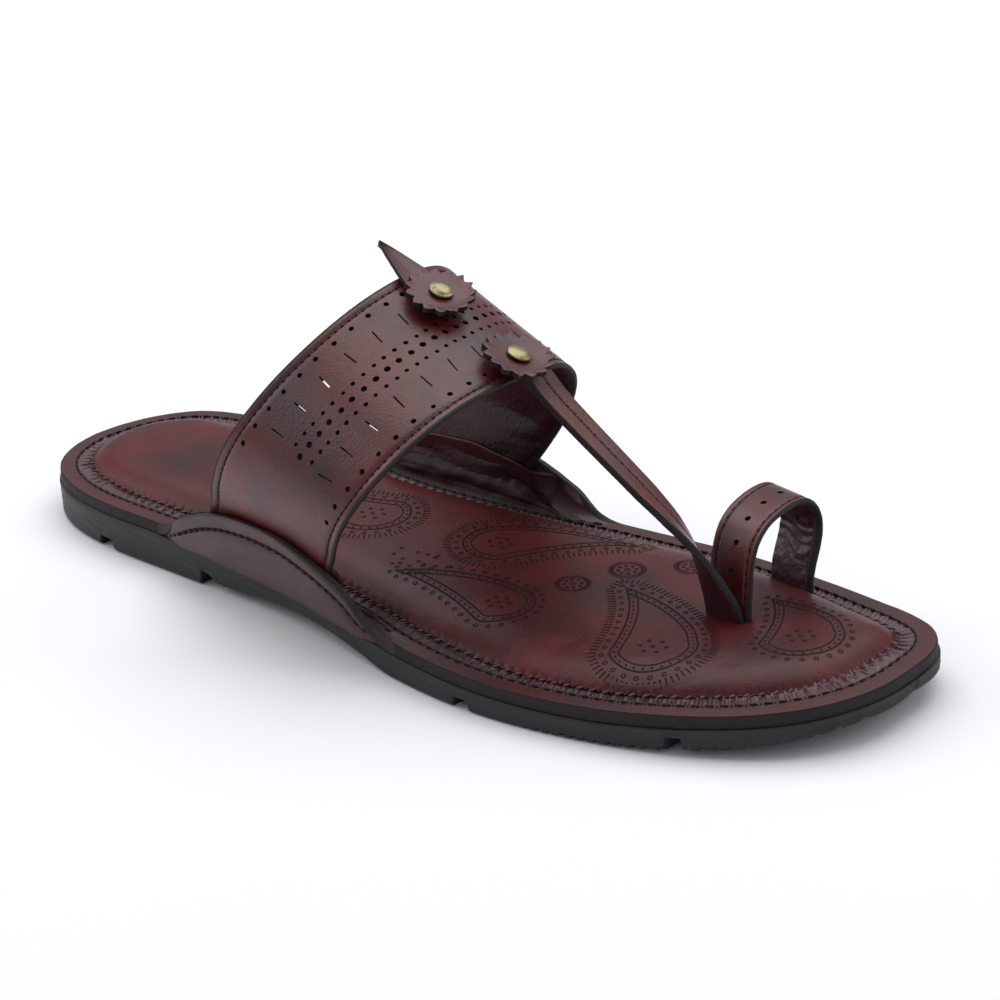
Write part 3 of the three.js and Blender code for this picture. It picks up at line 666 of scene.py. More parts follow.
def board_turn():
    """How far the board is turned up at each place of the ring, 0 to 1, and the height of its
    raw edge: the ear's edge where that stands above the rim, else the rim."""
    x = ring[:, 0]
    inside = (x > EAR_EDGE[0, 0]) & (x < EAR_EDGE[-1, 0])
    ear = np.where(ring_side < 0, ear_top[-1](x), ear_top[1](x))
    rim = rim_top(x)
    ear = np.where(inside, ear, rim)
    return smooth(0, 7, ear - rim) * inside, np.maximum(ear, rim), rim


def cushion_inset():
    """How far the cushion's edge keeps inside the outline at each place of the ring: least at the
    ball, and more towards the toe, at the heel and along the heel's inner side."""
    x = ring[:, 0]
    inset = 8.6 + .7 * smooth(205, 180, x) + 1.6 * smooth(225, 270, x) + .4 * smooth(60, 20, x)
    return inset + 1.6 * (ring_side > 0) * smooth(0, 12, x) * smooth(105, 60, x)


turned_up, edge_height, ring_rim = board_turn()
seam_inset = 4.9 + .5 * smooth(235, 275, ring[:, 0]) - .5 * turned_up
pad_inset = cushion_inset()


def ring_point(inset, z):
    """A point at an inset and a height at each place of the ring."""
    return np.concatenate([ring - ring_out * np.asarray(inset).reshape(-1, 1), np.asarray(z)[:, None]], 1)


def raw_edge():
    """The board's raw edge, a rounded rectangle carried round the outline. It faces outward
    along the rim and turns to face up along the ears."""
    e = turned_up[:, None]
    out = np.concatenate([ring_out, np.zeros((RING_COUNT, 1))], 1)
    up = np.array([[0, 0, 1.0]])
    level = ring_point(BOARD_DEEP, ring_rim - BOARD_TALL)
    high = edge_height - 1.1
    raised = ring_point(0, high)
    raised[:, 1] += ring_side * (SIDE_LEAN * (high - LEAN_FOOT) + 1.2)
    centre = mix(level, raised, e)
    angle = e * radians(84)
    face = np.cos(angle) * out + np.sin(angle) * up
    along_edge = -np.sin(angle) * out + np.cos(angle) * up
    slim = mix(.6, 1.15, smooth(112, 150, ring[:, :1]))
    half_deep, half_tall = mix(BOARD_DEEP, .9 * slim, e), mix(BOARD_TALL, .85 * slim, e)
    corners = 24
    corner = np.linspace(0, 2 * pi, corners, endpoint=False)
    box = lambda c: np.sign(c) * np.abs(c) ** .34
    wobble = np.stack([wander(RING_COUNT, 5, SEED + k) for k in range(corners)], 1) * .07
    deep = box(np.cos(corner))[None] * half_deep + wobble
    tall = box(np.sin(corner))[None] * half_tall
    grid = centre[:, None] + face[:, None] * deep[..., None] + along_edge[:, None] * tall[..., None]
    bead = tube("board_edge", grid, [EDGE, RAW_EDGE], wrap_u=True)
    raw = np.repeat(turned_up > .06, corners)
    bead.data.polygons.foreach_set("material_index", raw.astype(np.int32))
    return stands_for(bead, "rim_leather", "midsole")


def band_inside(x):
    """How far the band stands between an ear's two layers, 0 to 1, at each x."""
    return smooth(86, 92, x) * smooth(150, 143, x)


def rim_sheet():
    """Top leather, from the raw edge inward to the footbed's seam: level along the rim, and a
    soft curve down the inside of the ears. It is a cubic Bezier curve at each place of the ring.
    Inside the ears it carries a stitched groove, pulled in at every stitch, and below that the
    lining stands in a full roll with crossing ripples. The lining has its own finish."""
    e = turned_up[:, None]
    x = ring[:, :1]
    held = band_inside(ring[:, 0])
    start = ring_point(.3, ring_rim + .12)
    high = edge_height - mix(.4, 1.6, held)
    raised = ring_point(0, high)
    raised[:, 1] += ring_side * (SIDE_LEAN * (high - LEAN_FOOT) - mix(-.1, 3.2, held))
    start = mix(start, raised, e)
    end = ring_point(seam_inset + 1.5 * turned_up, ring_rim + .1)
    inward = np.concatenate([-ring_out, np.zeros((RING_COUNT, 1))], 1)
    down = np.array([[0, 0, -1.0]])
    span = np.linalg.norm(end - start, axis=1, keepdims=True)
    first = start + mix(inward, down, e) * span * .42
    second = end - inward * span * .38
    low_ends = smooth(138, 158, x) + smooth(98, 80, x)
    line = (.31 + .04 * np.sin(x / 9) + .6 * low_ends * e ** .5).clip(.2, .9)
    share = np.linspace(0, 1, 30)[None]
    groove_at = share[0, GROOVE_COLUMN]
    part = np.where(share < groove_at, line * share / groove_at,
                    mix(line, 1, (share - groove_at) / (1 - groove_at)))
    f = part[..., None]
    top = ((1 - f) ** 3 * start[:, None] + 3 * (1 - f) ** 2 * f * first[:, None]
           + 3 * (1 - f) * f ** 2 * second[:, None] + f ** 3 * end[:, None])
    normal = facing(top, wrap=True)
    normal *= np.sign((normal * np.array([0, 0, 1.0])).sum(-1, keepdims=True) + 1e-6)
    tall = smooth(80, 96, x) * smooth(166, 150, x)
    beyond = ((part - line) / (1 - line)).clip(-1, 1)
    full = smooth(.02, .34, beyond) * smooth(1.02, .5, beyond) * (1 - line) / .69
    pull = .5 + .5 * np.cos(2 * pi * ring_arc[:, None] / PULL_PITCH)
    folds = (2.0 * full * (.9 + .16 * np.sin(x / 6.1 + 3 * part)) - .8 * bell(beyond, 0, .035)
             - .3 * bell(beyond, .6 + .03 * np.sin(x / 7), .09) * smooth(104, 118, x)) * tall
    crumple = pull * (.32 * bell(beyond, .1, .09) + .12 * bell(beyond, -.12, .1))
    ripple = .15 * np.sin(x / 1.9 + 5 * part) + .1 * np.sin(x / 1.1 - 3 * part)
    relief = folds + ripple * bell(beyond, .45, .3) - crumple
    strength = np.where(ring_side > 0, 1.0, .8)[:, None]
    top = top + normal * (relief * e * strength)[..., None]
    under = (top - normal * 1.1)[:, ::-1][:, ::6]
    grid = np.concatenate([top, under], 1)
    sheet = tube("rim_sheet", grid, [RIM, FOLD], wrap_u=True)
    strip = np.arange(grid.shape[1])[None]
    lined = (line < .89) & (e > .3) & (strip >= GROOVE_COLUMN) & (strip < 28)
    sheet.data.polygons.foreach_set("material_index", lined.ravel().astype(np.int32))
    stands_for(sheet, "rim_leather", "midsole")
    return top, normal


def seam_channel():
    """The puckered channel between the rim and the footbed: a shallow trough carried round the
    outline, gathered in slanting ribs, two to a stitch, that are uneven in height."""
    count = 2880
    t = np.interp(np.arange(count) / count * ring_length, np.append(ring_arc, ring_length),
                  np.append(ring_t, 1))
    line, out = outline_at(t)
    gone = np.arange(count) / count * ring_length
    back = lambda row: np.interp(gone, np.append(ring_arc, ring_length), np.append(row, row[0]))
    first, last = back(seam_inset + 1.2 * turned_up) - .6, back(pad_inset) + 1.6
    g = np.linspace(0, 1, 15)[None]
    inset = mix(first[:, None], last[:, None], g)
    phase = gone[:, None] / ring_length * SEAM_STITCHES * 2 * pi
    slant = phase * 2 + 2.2 * g + .7 * wander(count, 60, SEED + 3)[:, None]
    uneven = .75 + .25 * wander(count, 22, SEED + 4)[:, None]
    fade = np.sin(pi * g.clip(.04, .96)) ** .6
    ribs = (np.sin(slant) * .28 + np.sin(slant / 2 + 1) * .26) * uneven * fade
    pulls = -.35 * bell(g, .16, .1) * (np.cos(phase) > .55) - .4 * bell(g, .78, .1) * (np.cos(phase) > .5)
    z = rim_top(line[:, :1]) + .15 - .75 * np.sin(pi * g) ** 1.3 + .5 * g ** 3 + ribs + pulls * .6
    top = np.concatenate([line[:, None] - out[:, None] * inset[..., None], z[..., None]], -1)
    under = top[:, ::-1][:, ::7].copy()
    under[..., 2] = rim_top(line[:, :1]) - 1.9
    channel = tube("seam_channel", np.concatenate([top, under], 1), [SEAM], wrap_u=True)
    return stands_for(channel, "rim_leather", "midsole")


def seam_threads():
    """The two thread rows of the footbed's seam: one on the rim, one drawn over the cushion's
    edge, where the thread shows worn and pale."""
    loop = lambda inset, z: np.concatenate([ring_point(inset, z), ring_point(inset, z)[:1]])
    up = np.tile([0, 0, 1.0], (RING_COUNT + 1, 1))
    pitch = ring_length / SEAM_STITCHES
    # both rows take the paler painted shade in their needle holes
    seam("rim_thread", loop(seam_inset + 1.2 * turned_up, ring_rim + .28), up, pitch, THREAD,
         "rim_leather", sink=-.02, width=.8, height=.55, hole_shade=SHADE)
    seam("cushion_thread", loop(pad_inset - .55, ring_rim + .55), up, pitch, PALE_THREAD,
         "rim_leather", length=2.1, width=.85, height=.7, twist=.9, hole_shade=SHADE)


def ear(side, name, node):
    """Outer leather of an ear. Down from the raw edge: a flat margin, a stitched groove five
    millimetres below the edge and a full, slightly puffed panel that tucks under at the rubber."""
    stations = 300
    x = np.linspace(EAR_EDGE[0, 0] + .3, EAR_EDGE[-1, 0] - .3, stations)
    chosen = ring_side == side
    near = lambda row: np.interp(x, *zip(*sorted(zip(ring[chosen, 0], row[chosen]))))
    e, top_edge, rim = near(turned_up), near(edge_height), near(ring_rim)
    foot = rubber_top(x) + .3
    high = mix(rim - 1.9, top_edge - mix(.75, 1.5, smooth(112, 150, x)), e)
    z = mix(high[:, None], foot[:, None], np.linspace(0, 1, 30)[None])
    below = top_edge[:, None] - z
    groove = bell(below, EAR_SEAM, .55)
    puff = smooth(5.4, 8.4, below) * smooth(0, 3.5, z - foot[:, None])
    tall = smooth(6, 12, top_edge - foot)[:, None]
    xs = x[:, None]
    wave = .22 * np.sin(xs / 6.5 + below * .5) * puff
    layer = mix(-.7, 2.1, e)
    out = layer[:, None] + (.55 * puff - .55 * groove + wave) * tall
    outer = np.stack([np.broadcast_to(xs, z.shape), wall(side, xs, z, out), z], -1)
    back = mix(high[:, None], foot[:, None], np.linspace(1, 0, 6)[None])
    thick = mix(.2, 1.8, e)[:, None]
    behind = wall(side, xs, back, layer[:, None] - thick)
    inner = np.stack([np.broadcast_to(xs, back.shape), behind, back], -1)
    panel = tube(name, np.concatenate([outer, inner], 1), [EAR])
    stands_for(panel, "strap_leather", node)
    row = top_edge - EAR_SEAM
    tall_enough = row > foot + 1.2
    line = np.stack([x, wall(side, x, row, layer - .5), row], -1)[tall_enough]
    normal = np.tile([0, side * 1.0, -.15], (len(line), 1))
    seam(name + "_thread", line, normal, EAR_PITCH, THREAD, "strap_leather", sink=-.2, width=1.35,
         height=1.0)


def inner_ear_stitches(top, normal):
    """Stitches in the groove inside each ear, about a third of the way down its lining, with one
    stitch to each pull of the leather."""
    for side, name in ((-1, "outer_lining_thread"), (1, "inner_lining_thread")):
        chosen = (ring_side == side) & (turned_up > .25)
        line, up = (grid[chosen][:, GROOVE_COLUMN] for grid in (top, normal))
        seam(name, line, up, PULL_PITCH, THREAD, "rim_leather", sink=-.05, width=.95, height=.8)


# ---------------------------------------------------------------- footbed

def footbed():
    """The cushion: a loop across the foot at each station, flat below, upright at its edge and
    rounding over a shoulder to a low crown. Every stitch of the seam draws its edge in."""
    stations, across = 620, 120

    def edge_at(t):
        line, out = outline_at(t)
        return line - out * np.interp(t % 1, ring_t, pad_inset)[:, None]

    left, right = (edge_at(t) for t in both_sides(stations))
    k = (1 - np.cos(np.linspace(0, pi, across))) / 2
    k = mix(k, np.linspace(0, 1, across), .35)
    spot = mix(left[:, None], right[:, None], k[None, :, None])
    depth, where = pad_depth(spot.reshape(-1, 2))
    depth, where = depth.reshape(stations, across), where.reshape(stations, across)
    z = pad_crown(spot[..., 0], depth)
    phase = where / ring_length * SEAM_STITCHES * 2 * pi
    draw = (.5 + .5 * np.cos(phase)) ** 3
    z = z - .4 * draw * bell(depth, .1, .9)
    from_feet = np.hypot(spot[..., 0] - FOOT_AT[0], spot[..., 1] - FOOT_AT[1])
    z = z - FOOT_DIP * bell(from_feet, 0, FOOT_REACH)
    top = np.concatenate([spot, z[..., None]], -1)
    top[..., 2] += filled(top)
    low = spot[:, ::-1][:, ::17]
    base = np.concatenate([low, (rim_top(low[..., 0]) - .2)[..., None]], -1)
    grid = np.concatenate([top, base], 1)
    cushion = tube("footbed_cushion", grid, [PAD])
    stands_for(cushion, "footbed_leather", "footbed")
    return cushion


def filled(top):
    """How far the cushion's cover rises when its filling presses on it, at every point of the
    grid: a coarse copy of the cover, held at its edge, is inflated as cloth for twenty frames,
    its rise is capped and then spread over the fine grid."""
    rows = np.linspace(0, len(top) - 1, 125).astype(int)
    cols = np.linspace(0, top.shape[1] - 1, 31).astype(int)
    coarse = top[rows][:, cols]
    nu, nv = coarse.shape[:2]
    faces = quads(nu, nv, False, False)[:, ::-1]
    cover = piece("cushion_cover", coarse.reshape(-1, 3), [faces], [PAD], closed=False)
    if cover.data.polygons[len(cover.data.polygons) // 2].normal.z < 0:
        cover.data.flip_normals()
    i, j = np.divmod(np.arange(nu * nv), nv)
    rim = (i < 2) | (i > nu - 3) | (j < 2) | (j > nv - 3)
    cover.vertex_groups.new(name="held").add(np.flatnonzero(rim).tolist(), 1.0, "REPLACE")
    cloth = cover.modifiers.new("fill", "CLOTH")
    cloth.settings.vertex_group_mass = "held"
    cloth.settings.quality = 6
    cloth.settings.mass = .3
    cloth.settings.tension_stiffness = cloth.settings.compression_stiffness = 12
    cloth.settings.bending_stiffness = 1.5
    cloth.settings.use_pressure = True
    cloth.settings.uniform_pressure_force = FILL_PRESSURE
    cloth.settings.effector_weights.gravity = 0
    cloth.collision_settings.use_collision = False
    for frame_number in range(1, FILL_FRAMES + 1):
        bpy.context.scene.frame_set(frame_number)
    shape = cover.evaluated_get(bpy.context.evaluated_depsgraph_get()).data
    after = np.empty(nu * nv * 3, np.float32)
    shape.vertices.foreach_get("co", after)
    rise = (after.reshape(nu, nv, 3)[..., 2] - place(coarse)[..., 2]) / MM
    rise = rise / (1 + np.abs(rise) / FILL_RISE)
    bpy.context.scene.frame_set(1)
    bpy.data.objects.remove(cover)
    u, v = np.arange(len(top)), np.arange(top.shape[1])
    along = np.stack([np.interp(u, rows, rise[:, k]) for k in range(nv)], 1)
    return np.stack([np.interp(v, cols, row) for row in along])


def pad_depth(points):
    """Distance from each point to the cushion's edge, and the place of the nearest point of the
    outline along the ring, in blocks of a few thousand points."""
    edge = ring - ring_out * pad_inset[:, None]
    depths, places = [], []
    for block in np.array_split(points, max(len(points) // 4000, 1)):
        gap = np.linalg.norm(block[:, None] - edge[None], axis=-1)
        near = gap.argmin(1)
        depths.append(gap.min(1))
        places.append(ring_arc[near])
    return np.concatenate(depths), np.concatenate(places)


def pad_crown(x, depth):
    """Height of the cushion: an upright edge, then a shoulder that rises as one minus a power
    of the distance still to go."""
    away = np.clip(depth / PAD_SHOULDER, 0, 1)
    return rim_top(x) + PAD_LIP + PAD_RISE * (1 - (1 - away) ** 2.6)


# ---------------------------------------------------------------- straps

def band_face(nu, v):
    """The instep band's outer face: a Catmull-Rom curve over the foot for each v, from the
    rear edge (0) to the front edge (1), whose sections lean forward with height."""
    v = np.asarray(v, float)
    rear_x = lambda z: REAR_EDGE[0] + REAR_EDGE[1] * (z - EAR_TOP)
    front_x = lambda z: FRONT_EDGE[0] + FRONT_EDGE[1] * (z - EAR_TOP)

    def foot(side, rear, front):
        x, z = mix(rear_x(rear), front_x(front), v), mix(rear, front, v)
        return np.stack([x, wall(side, x, z), z], -1)

    over = [np.stack([mix(rear_x(rz), front_x(fz), v), mix(ry, fy, v), mix(rz, fz, v)], -1)
            for ry, rz, fy, fz in BAND_SECTIONS]
    rows = [foot(-1, *row) for row in BAND_FEET] + over + [foot(1, *row) for row in BAND_FEET[::-1]]
    return catmull(np.array(rows), np.linspace(0, 1, nu))


def loop_face(nu, v):
    """The toe loop's outer face: the same for v from its rear edge (0) to its front edge (1)."""
    e = 2 * np.asarray(v, float) - 1
    y, z = LOOP_SECTIONS[:, :1], LOOP_SECTIONS[:, 1:]
    x = LOOP_MIDDLE + LOOP_HALF * e[None] + LOOP_LEAN * (z - LOOP_FOOT)
    rows = np.stack(np.broadcast_arrays(x, y + LOOP_SKEW * (1 - e[None]) / 2, z), -1)
    return catmull(rows, np.linspace(0, 1, nu))


def outward_of(face):
    """Unit normals of a strap's outer face, on the side that looks up in its middle."""
    normal = -facing(face)
    return normal if normal[len(face) // 2, face.shape[1] // 2, 2] > 0 else -normal


def strap_solid(name, face, v, leather_thick, rows=()):
    """A strap of even thickness under its outer face: the face with a shallow valley along each
    stitch row (v, width in v), a rounded raw edge on both sides, and a wrinkled lining."""
    outward = outward_of(face)
    valley = sum(bell(v, at, wide) for at, wide in rows)
    top = face - outward * (.34 * valley)[None, :, None]
    side = unit(face[:, -1] - face[:, -2])
    other = unit(face[:, 0] - face[:, 1])
    steps = [(-.12, .13), (.06, .4), (.08, .8), (.04, EDGE_THICK - .35), (-.12, EDGE_THICK - .1)]
    trim = lambda line, norm, away: np.stack([line + away * push - norm * sunk for push, sunk in steps], 1)
    front = trim(face[:, -1], outward[:, -1], side)
    rear = trim(face[:, 0], outward[:, 0], other)[:, ::-1]
    count = len(face)
    keep = np.linspace(0, len(v) - 1, 30).astype(int)[::-1]
    u = np.linspace(0, 1, count)[:, None]
    creases = (.2 * np.sin(u * 90 + 3 * np.sin(v[keep][None] * 7)) * wander(count, 13, SEED + 8)[:, None]
               + .12 * wander(count, 6, SEED + 9)[:, None] * np.sin(3 + 6 * v[keep][None]))
    pared = mix(EDGE_THICK, leather_thick, smooth(0, .1, v) * smooth(1, .9, v))[keep][None, :, None]
    lining = face[:, keep] - outward[:, keep] * (pared - creases[..., None] * smooth(1.6, 2.3, pared))
    grid = np.concatenate([top[:, 1:-1], front, lining[:, 1:-1], rear], 1)
    which = np.concatenate([np.zeros(len(v) - 3, int), np.ones(len(steps) + 1, int),
                            np.full(len(keep) - 3, 2), np.ones(len(steps) + 1, int)])
    return tube(name, grid, [STRAP, EDGE, LINING], which=which)


def punch(strap, holes):
    """Cuts holes through a strap with one joined cutter. Each hole is a prism along the
    surface's normal: (centre, outward, along, length, width), round where length = width."""
    sides = 16
    a = np.arange(sides) / sides * 2 * pi
    centre, out, along, length, width = (np.asarray(part, float) for part in zip(*holes))
    across = np.cross(out, along)
    stretch = ((length - width) / 2)[:, None]
    reach = (width / 2)[:, None] * np.cos(a) + np.where(np.cos(a) > 0, 1, -1) * stretch
    wide = (width / 2)[:, None] * np.sin(a)
    rim = centre[:, None] + along[:, None] * reach[..., None] + across[:, None] * wide[..., None]
    over, below = 1.2, 4.2
    points = np.concatenate([rim + out[:, None] * over, rim - out[:, None] * below,
                             (centre + out * over)[:, None], (centre - out * below)[:, None]], 1)
    i = np.arange(sides)
    j = (i + 1) % sides
    walls = np.stack([i, sides + i, sides + j, j], -1)
    caps = np.concatenate([np.stack([i, j, np.full(sides, 2 * sides)], -1),
                           np.stack([sides + j, sides + i, np.full(sides, 2 * sides + 1)], -1)])
    shift = (np.arange(len(centre)) * points.shape[1])[:, None, None]
    faces = [(f[None] + shift).reshape(-1, f.shape[1]) for f in (walls, caps)]
    total = sum(len(f) for f in faces)
    cutter = piece("cutter", points.reshape(-1, 3), faces, [STRAP, EDGE, LINING], np.ones(total, int))
    cut = strap.modifiers.new("holes", "BOOLEAN")
    cut.operation, cut.object, cut.solver = "DIFFERENCE", cutter, "MANIFOLD"
    applied(strap)
    bpy.data.objects.remove(cutter)
    strap.data.set_sharp_from_angle(angle=radians(42))
    return strap


def row_at(face, outward, v_at, first, last, pitch):
    """Places along a strap at one v, every pitch from first to last millimetre of its length."""
    line = sample(face, np.linspace(0, 1, 1200), np.full(1200, v_at))
    gone = arc_along(line)
    at = np.arange(first, last, pitch)
    u = np.interp(at, gone, np.linspace(0, 1, 1200))
    spot = sample(face, u, np.full(len(u), v_at))
    out = unit(sample(outward, u, np.full(len(u), v_at)))
    return u, spot, out


def stitch_row(name, face, outward, v_at, ends, count, pitch):
    """Stitches along a strap at one v, laid in its valley between two fractions of its length."""
    u = np.linspace(*ends, count)
    line, out = (sample(grid, u, np.full(count, v_at)) for grid in (face, outward))
    seam(name, line - out * .3, out, pitch, THREAD, "strap_leather", sink=.06, width=1.05, height=.62)


def instep_band():
    """The wide strap over the instep, punched as the real one: a line of large holes along the
    middle between two lines of small ones, slits across on both sides and a line of holes
    inside each stitched edge."""
    v = np.unique(np.round(np.concatenate([np.linspace(0, 1, 61), np.linspace(.035, .08, 10),
                                           np.linspace(.92, .965, 10)]), 5))
    face = band_face(520, v)
    even = band_face(600, np.linspace(0, 1, 61))
    outward = outward_of(even)
    strap = strap_solid("instep_band", face, v, STRAP_LEATHER, [(at, .018) for at in BAND_STITCHES])
    holes, by_hand = [], np.random.default_rng(SEED + 11)
    for v_at, first, last, pitch, wide in BAND_HOLES:
        u, spot, out = row_at(even, outward, v_at, first, last, pitch)
        u = u + by_hand.uniform(-.0009, .0009, len(u))
        v_here = v_at + by_hand.uniform(-.003, .003, len(u))
        spot, sizes = sample(even, u, v_here), wide * by_hand.uniform(.9, 1.1, len(u))
        ahead = unit(sample(even, u + .002, v_here) - spot)
        holes += [(s, o, a, w, w) for s, o, a, w in zip(spot, out, ahead, sizes)]
    for low, high, first, last, pitch in BAND_SLITS:
        u, spot, out = row_at(even, outward, (low + high) / 2, first, last, pitch)
        lean = .002 + by_hand.uniform(-.0012, .0012, len(u))
        ends = [sample(even, u + lean * way, np.full(len(u), v_at))
                for v_at, way in ((low, 1), (high, -1))]
        across = ends[1] - ends[0]
        length = np.linalg.norm(across, axis=1)
        holes += [(s, o, a, n, SLIT_WIDTH) for s, o, a, n in zip(spot, out, unit(across), length)]
    punch(strap, holes)
    stands_for(strap, "strap_leather", "straps")
    for v_at, name in zip(BAND_STITCHES, ("band_rear_thread", "band_front_thread")):
        stitch_row(name, even, outward, v_at, (.085, .915), 900, 2.3)


def toe_loop():
    """The loop round the big toe, with a row of stitches along each edge and holes between."""
    v = np.unique(np.round(np.concatenate([np.linspace(0, 1, 33), np.linspace(.08, .17, 9),
                                           np.linspace(.83, .92, 9)]), 5))
    face = loop_face(240, v)
    even = loop_face(300, np.linspace(0, 1, 33))
    outward = outward_of(even)
    strap = strap_solid("toe_loop", face, v, STRAP_LEATHER, [(at, .03) for at in LOOP_STITCHES])
    u, spot, out = row_at(even, outward, *LOOP_HOLES)
    ahead = unit(sample(even, u + .004, np.full(len(u), LOOP_HOLES[0])) - spot)
    punch(strap, [(s, o, a, LOOP_HOLE, LOOP_HOLE) for s, o, a in zip(spot, out, ahead)])
    stands_for(strap, "strap_leather", "straps")
    for v_at, name in zip(LOOP_STITCHES, ("loop_rear_thread", "loop_front_thread")):
        stitch_row(name, even, outward, v_at, (.04, .97), 500, 2.9)


def centre_strap():
    """The narrow strap from the front rosette to the toe loop: a rounded rectangle carried
    along its path, which turns on edge where it meets the loop, with one row of stitches."""
    count = 260
    t = np.linspace(0, 1, count)
    path = catmull(CENTRE_SECTIONS[:, :3], t)
    along = unit(np.gradient(path, axis=0))
    at = t * (len(CENTRE_SECTIONS) - 1)
    rows = np.arange(len(CENTRE_SECTIONS))
    turn, width = (np.interp(at, rows, CENTRE_SECTIONS[:, k]) for k in (3, 4))
    flat = unit(np.array([0, 1.0, 0]) - along[:, 1:2] * along)
    a = np.radians(turn)[:, None]
    side = flat * np.cos(a) + np.cross(along, flat) * np.sin(a)
    up = np.cross(along, side)
    across = np.linspace(-1, 1, 21)
    half = CENTRE_LEATHER / 2
    groove = .3 * bell(across, .08, .09)
    top = [(w * .965, half - g - .12 * (abs(w) > .99)) for w, g in zip(across, groove)]
    edge = [(1.0, half * .6), (1.0, 0), (1.0, -half * .6)]
    base = [(w * .965, -half) for w in across[::-4]]
    section = np.array(top + edge + base + [(-1.0, -half * .6), (-1.0, 0), (-1.0, half * .6)])
    grid = (path[:, None] + side[:, None] * (section[None, :, :1] * width[:, None, None] / 2)
            + up[:, None] * section[None, :, 1:])
    which = np.array([0] * (len(top) - 1) + [1] * (len(edge) + 1) + [2] * (len(base) - 1) + [1] * 4)
    strap = tube("centre_strap", grid, [STRAP, EDGE, LINING], which=which)
    stands_for(strap, "strap_leather", "straps")
    line = path + side * (width * .04)[:, None] + up * (half - .22)
    shown = slice(28, -12)
    seam("centre_strap_thread", line[shown], up[shown], 2.5, THREAD, "strap_leather", sink=.02,
         width=.6, height=.45)


# ---------------------------------------------------------------- rosettes, leaf and rivets

def seat_at(u, v):
    """The frame that stands on the band at (u, v): its place, and a turn that takes up to the
    band's outward direction."""
    v_near = [v - .01, v, v + .01]
    grid = band_face(2001, v_near)
    i = round(u * 2000)
    along, across = grid[i + 20, 1] - grid[i - 20, 1], grid[i, 2] - grid[i, 0]
    out = unit(np.cross(across, along))
    turn = Vector((0, 0, 1)).rotation_difference(Vector(out))
    return grid[i, 1], turn


def stand(points, seat, height, spin=0.0):
    """Local points moved onto a seat: spun about up, lifted, and turned outward."""
    spot, turn = seat
    matrix = np.array(turn.to_matrix() @ Matrix.Rotation(spin, 3, "Z"))
    return (points + np.array([0, 0, height])) @ matrix.T + spot


def dish(name, radius_top, radius_low, heights_top, heights_low, finishes, which, seat, height, spin=0.0):
    """A closed disc from rings: radii and heights for each angle, top centre to rim to foot."""
    angles = radius_top.shape[1]
    a = np.arange(angles) / angles * 2 * pi
    radius = np.concatenate([radius_top, radius_low])
    z = np.concatenate([heights_top, heights_low])
    body = np.stack([radius * np.cos(a), radius * np.sin(a), z], -1)
    rings = len(radius)
    hubs = np.array([(0, 0, heights_top[0].mean()), (0, 0, heights_low[-1].mean())])
    points = stand(np.concatenate([body.reshape(-1, 3), hubs]), seat, height, spin)
    faces = [quads(rings, angles, False, True), fan(np.arange(angles), rings * angles),
             fan(np.arange(angles)[::-1] + (rings - 1) * angles, rings * angles + 1)]
    numbers = np.concatenate([np.repeat(which, angles), np.zeros(2 * angles, int)])
    return piece(name, points, faces, finishes, numbers)


def rosette(name, node, seat, height, lift_at, seed, spin=0.0):
    """A scalloped leather star of fifteen teeth: its radius is a triangle wave, it is cupped,
    and its teeth curl up most on one side, each by its own amount."""
    per_tooth = 10
    angles = ROSETTE_TEETH * per_tooth
    k = np.arange(angles)
    saw = np.abs((k / per_tooth) % 1 - .5) * 2
    tip = mix(ROSETTE_ROOT, ROSETTE_TIP, saw ** .8)
    a = k / angles * 2 * pi
    own = np.repeat(np.random.default_rng(seed).uniform(-.5, 1, ROSETTE_TEETH), per_tooth)
    raised = np.cos((a - lift_at) / 2) ** 6
    f = np.linspace(.12, 1, 16)[:, None]
    reach = f * tip
    curl = .15 + 1.5 * raised
    teeth = smooth(6.6, 10.4, reach) * saw ** .5 * (own * .4 + .9 * raised)
    top_z = ROSETTE_LEATHER + curl * smooth(3.6, 10, reach) + teeth - .1 * bell(f, 1.0, .03)
    radius = f * tip * (1 - .05 * curl * f ** 3)
    low = f[::-3]
    low_radius = radius[::-3] * .985
    low_z = top_z[::-3] - ROSETTE_LEATHER + .1 * bell(low, 1.0, .03)
    which = np.array([0] * 15 + [1] + [2] * (len(low) - 1))
    star = dish(name, radius, low_radius, top_z, low_z, [STRAP, EDGE, LINING], which, seat, height, spin)
    star.data.set_sharp_from_angle(angle=radians(50))
    return stands_for(star, "strap_leather", node)


def rivet(name, node, seat, height):
    """A flattened brass dome with a rolled rim: a profile turned round the seat's axis."""
    profile = np.array([(.5, 1.42), (1.3, 1.38), (2.0, 1.26), (2.5, 1.08), (2.8, .9), (2.95, .84),
                        (3.1, .84), (3.25, .7), (3.3, .45), (3.22, .18), (2.9, 0), (1.5, 0), (1.5, -3.4)])
    sides = 48
    top = np.repeat(profile[:, :1], sides, 1)
    z = np.repeat(profile[:, 1:], sides, 1)
    head = dish(name, top[:8], top[8:], z[:8], z[8:], [BRASS], np.zeros(12, int), seat, height)
    return stands_for(head, "rivet_brass", node)


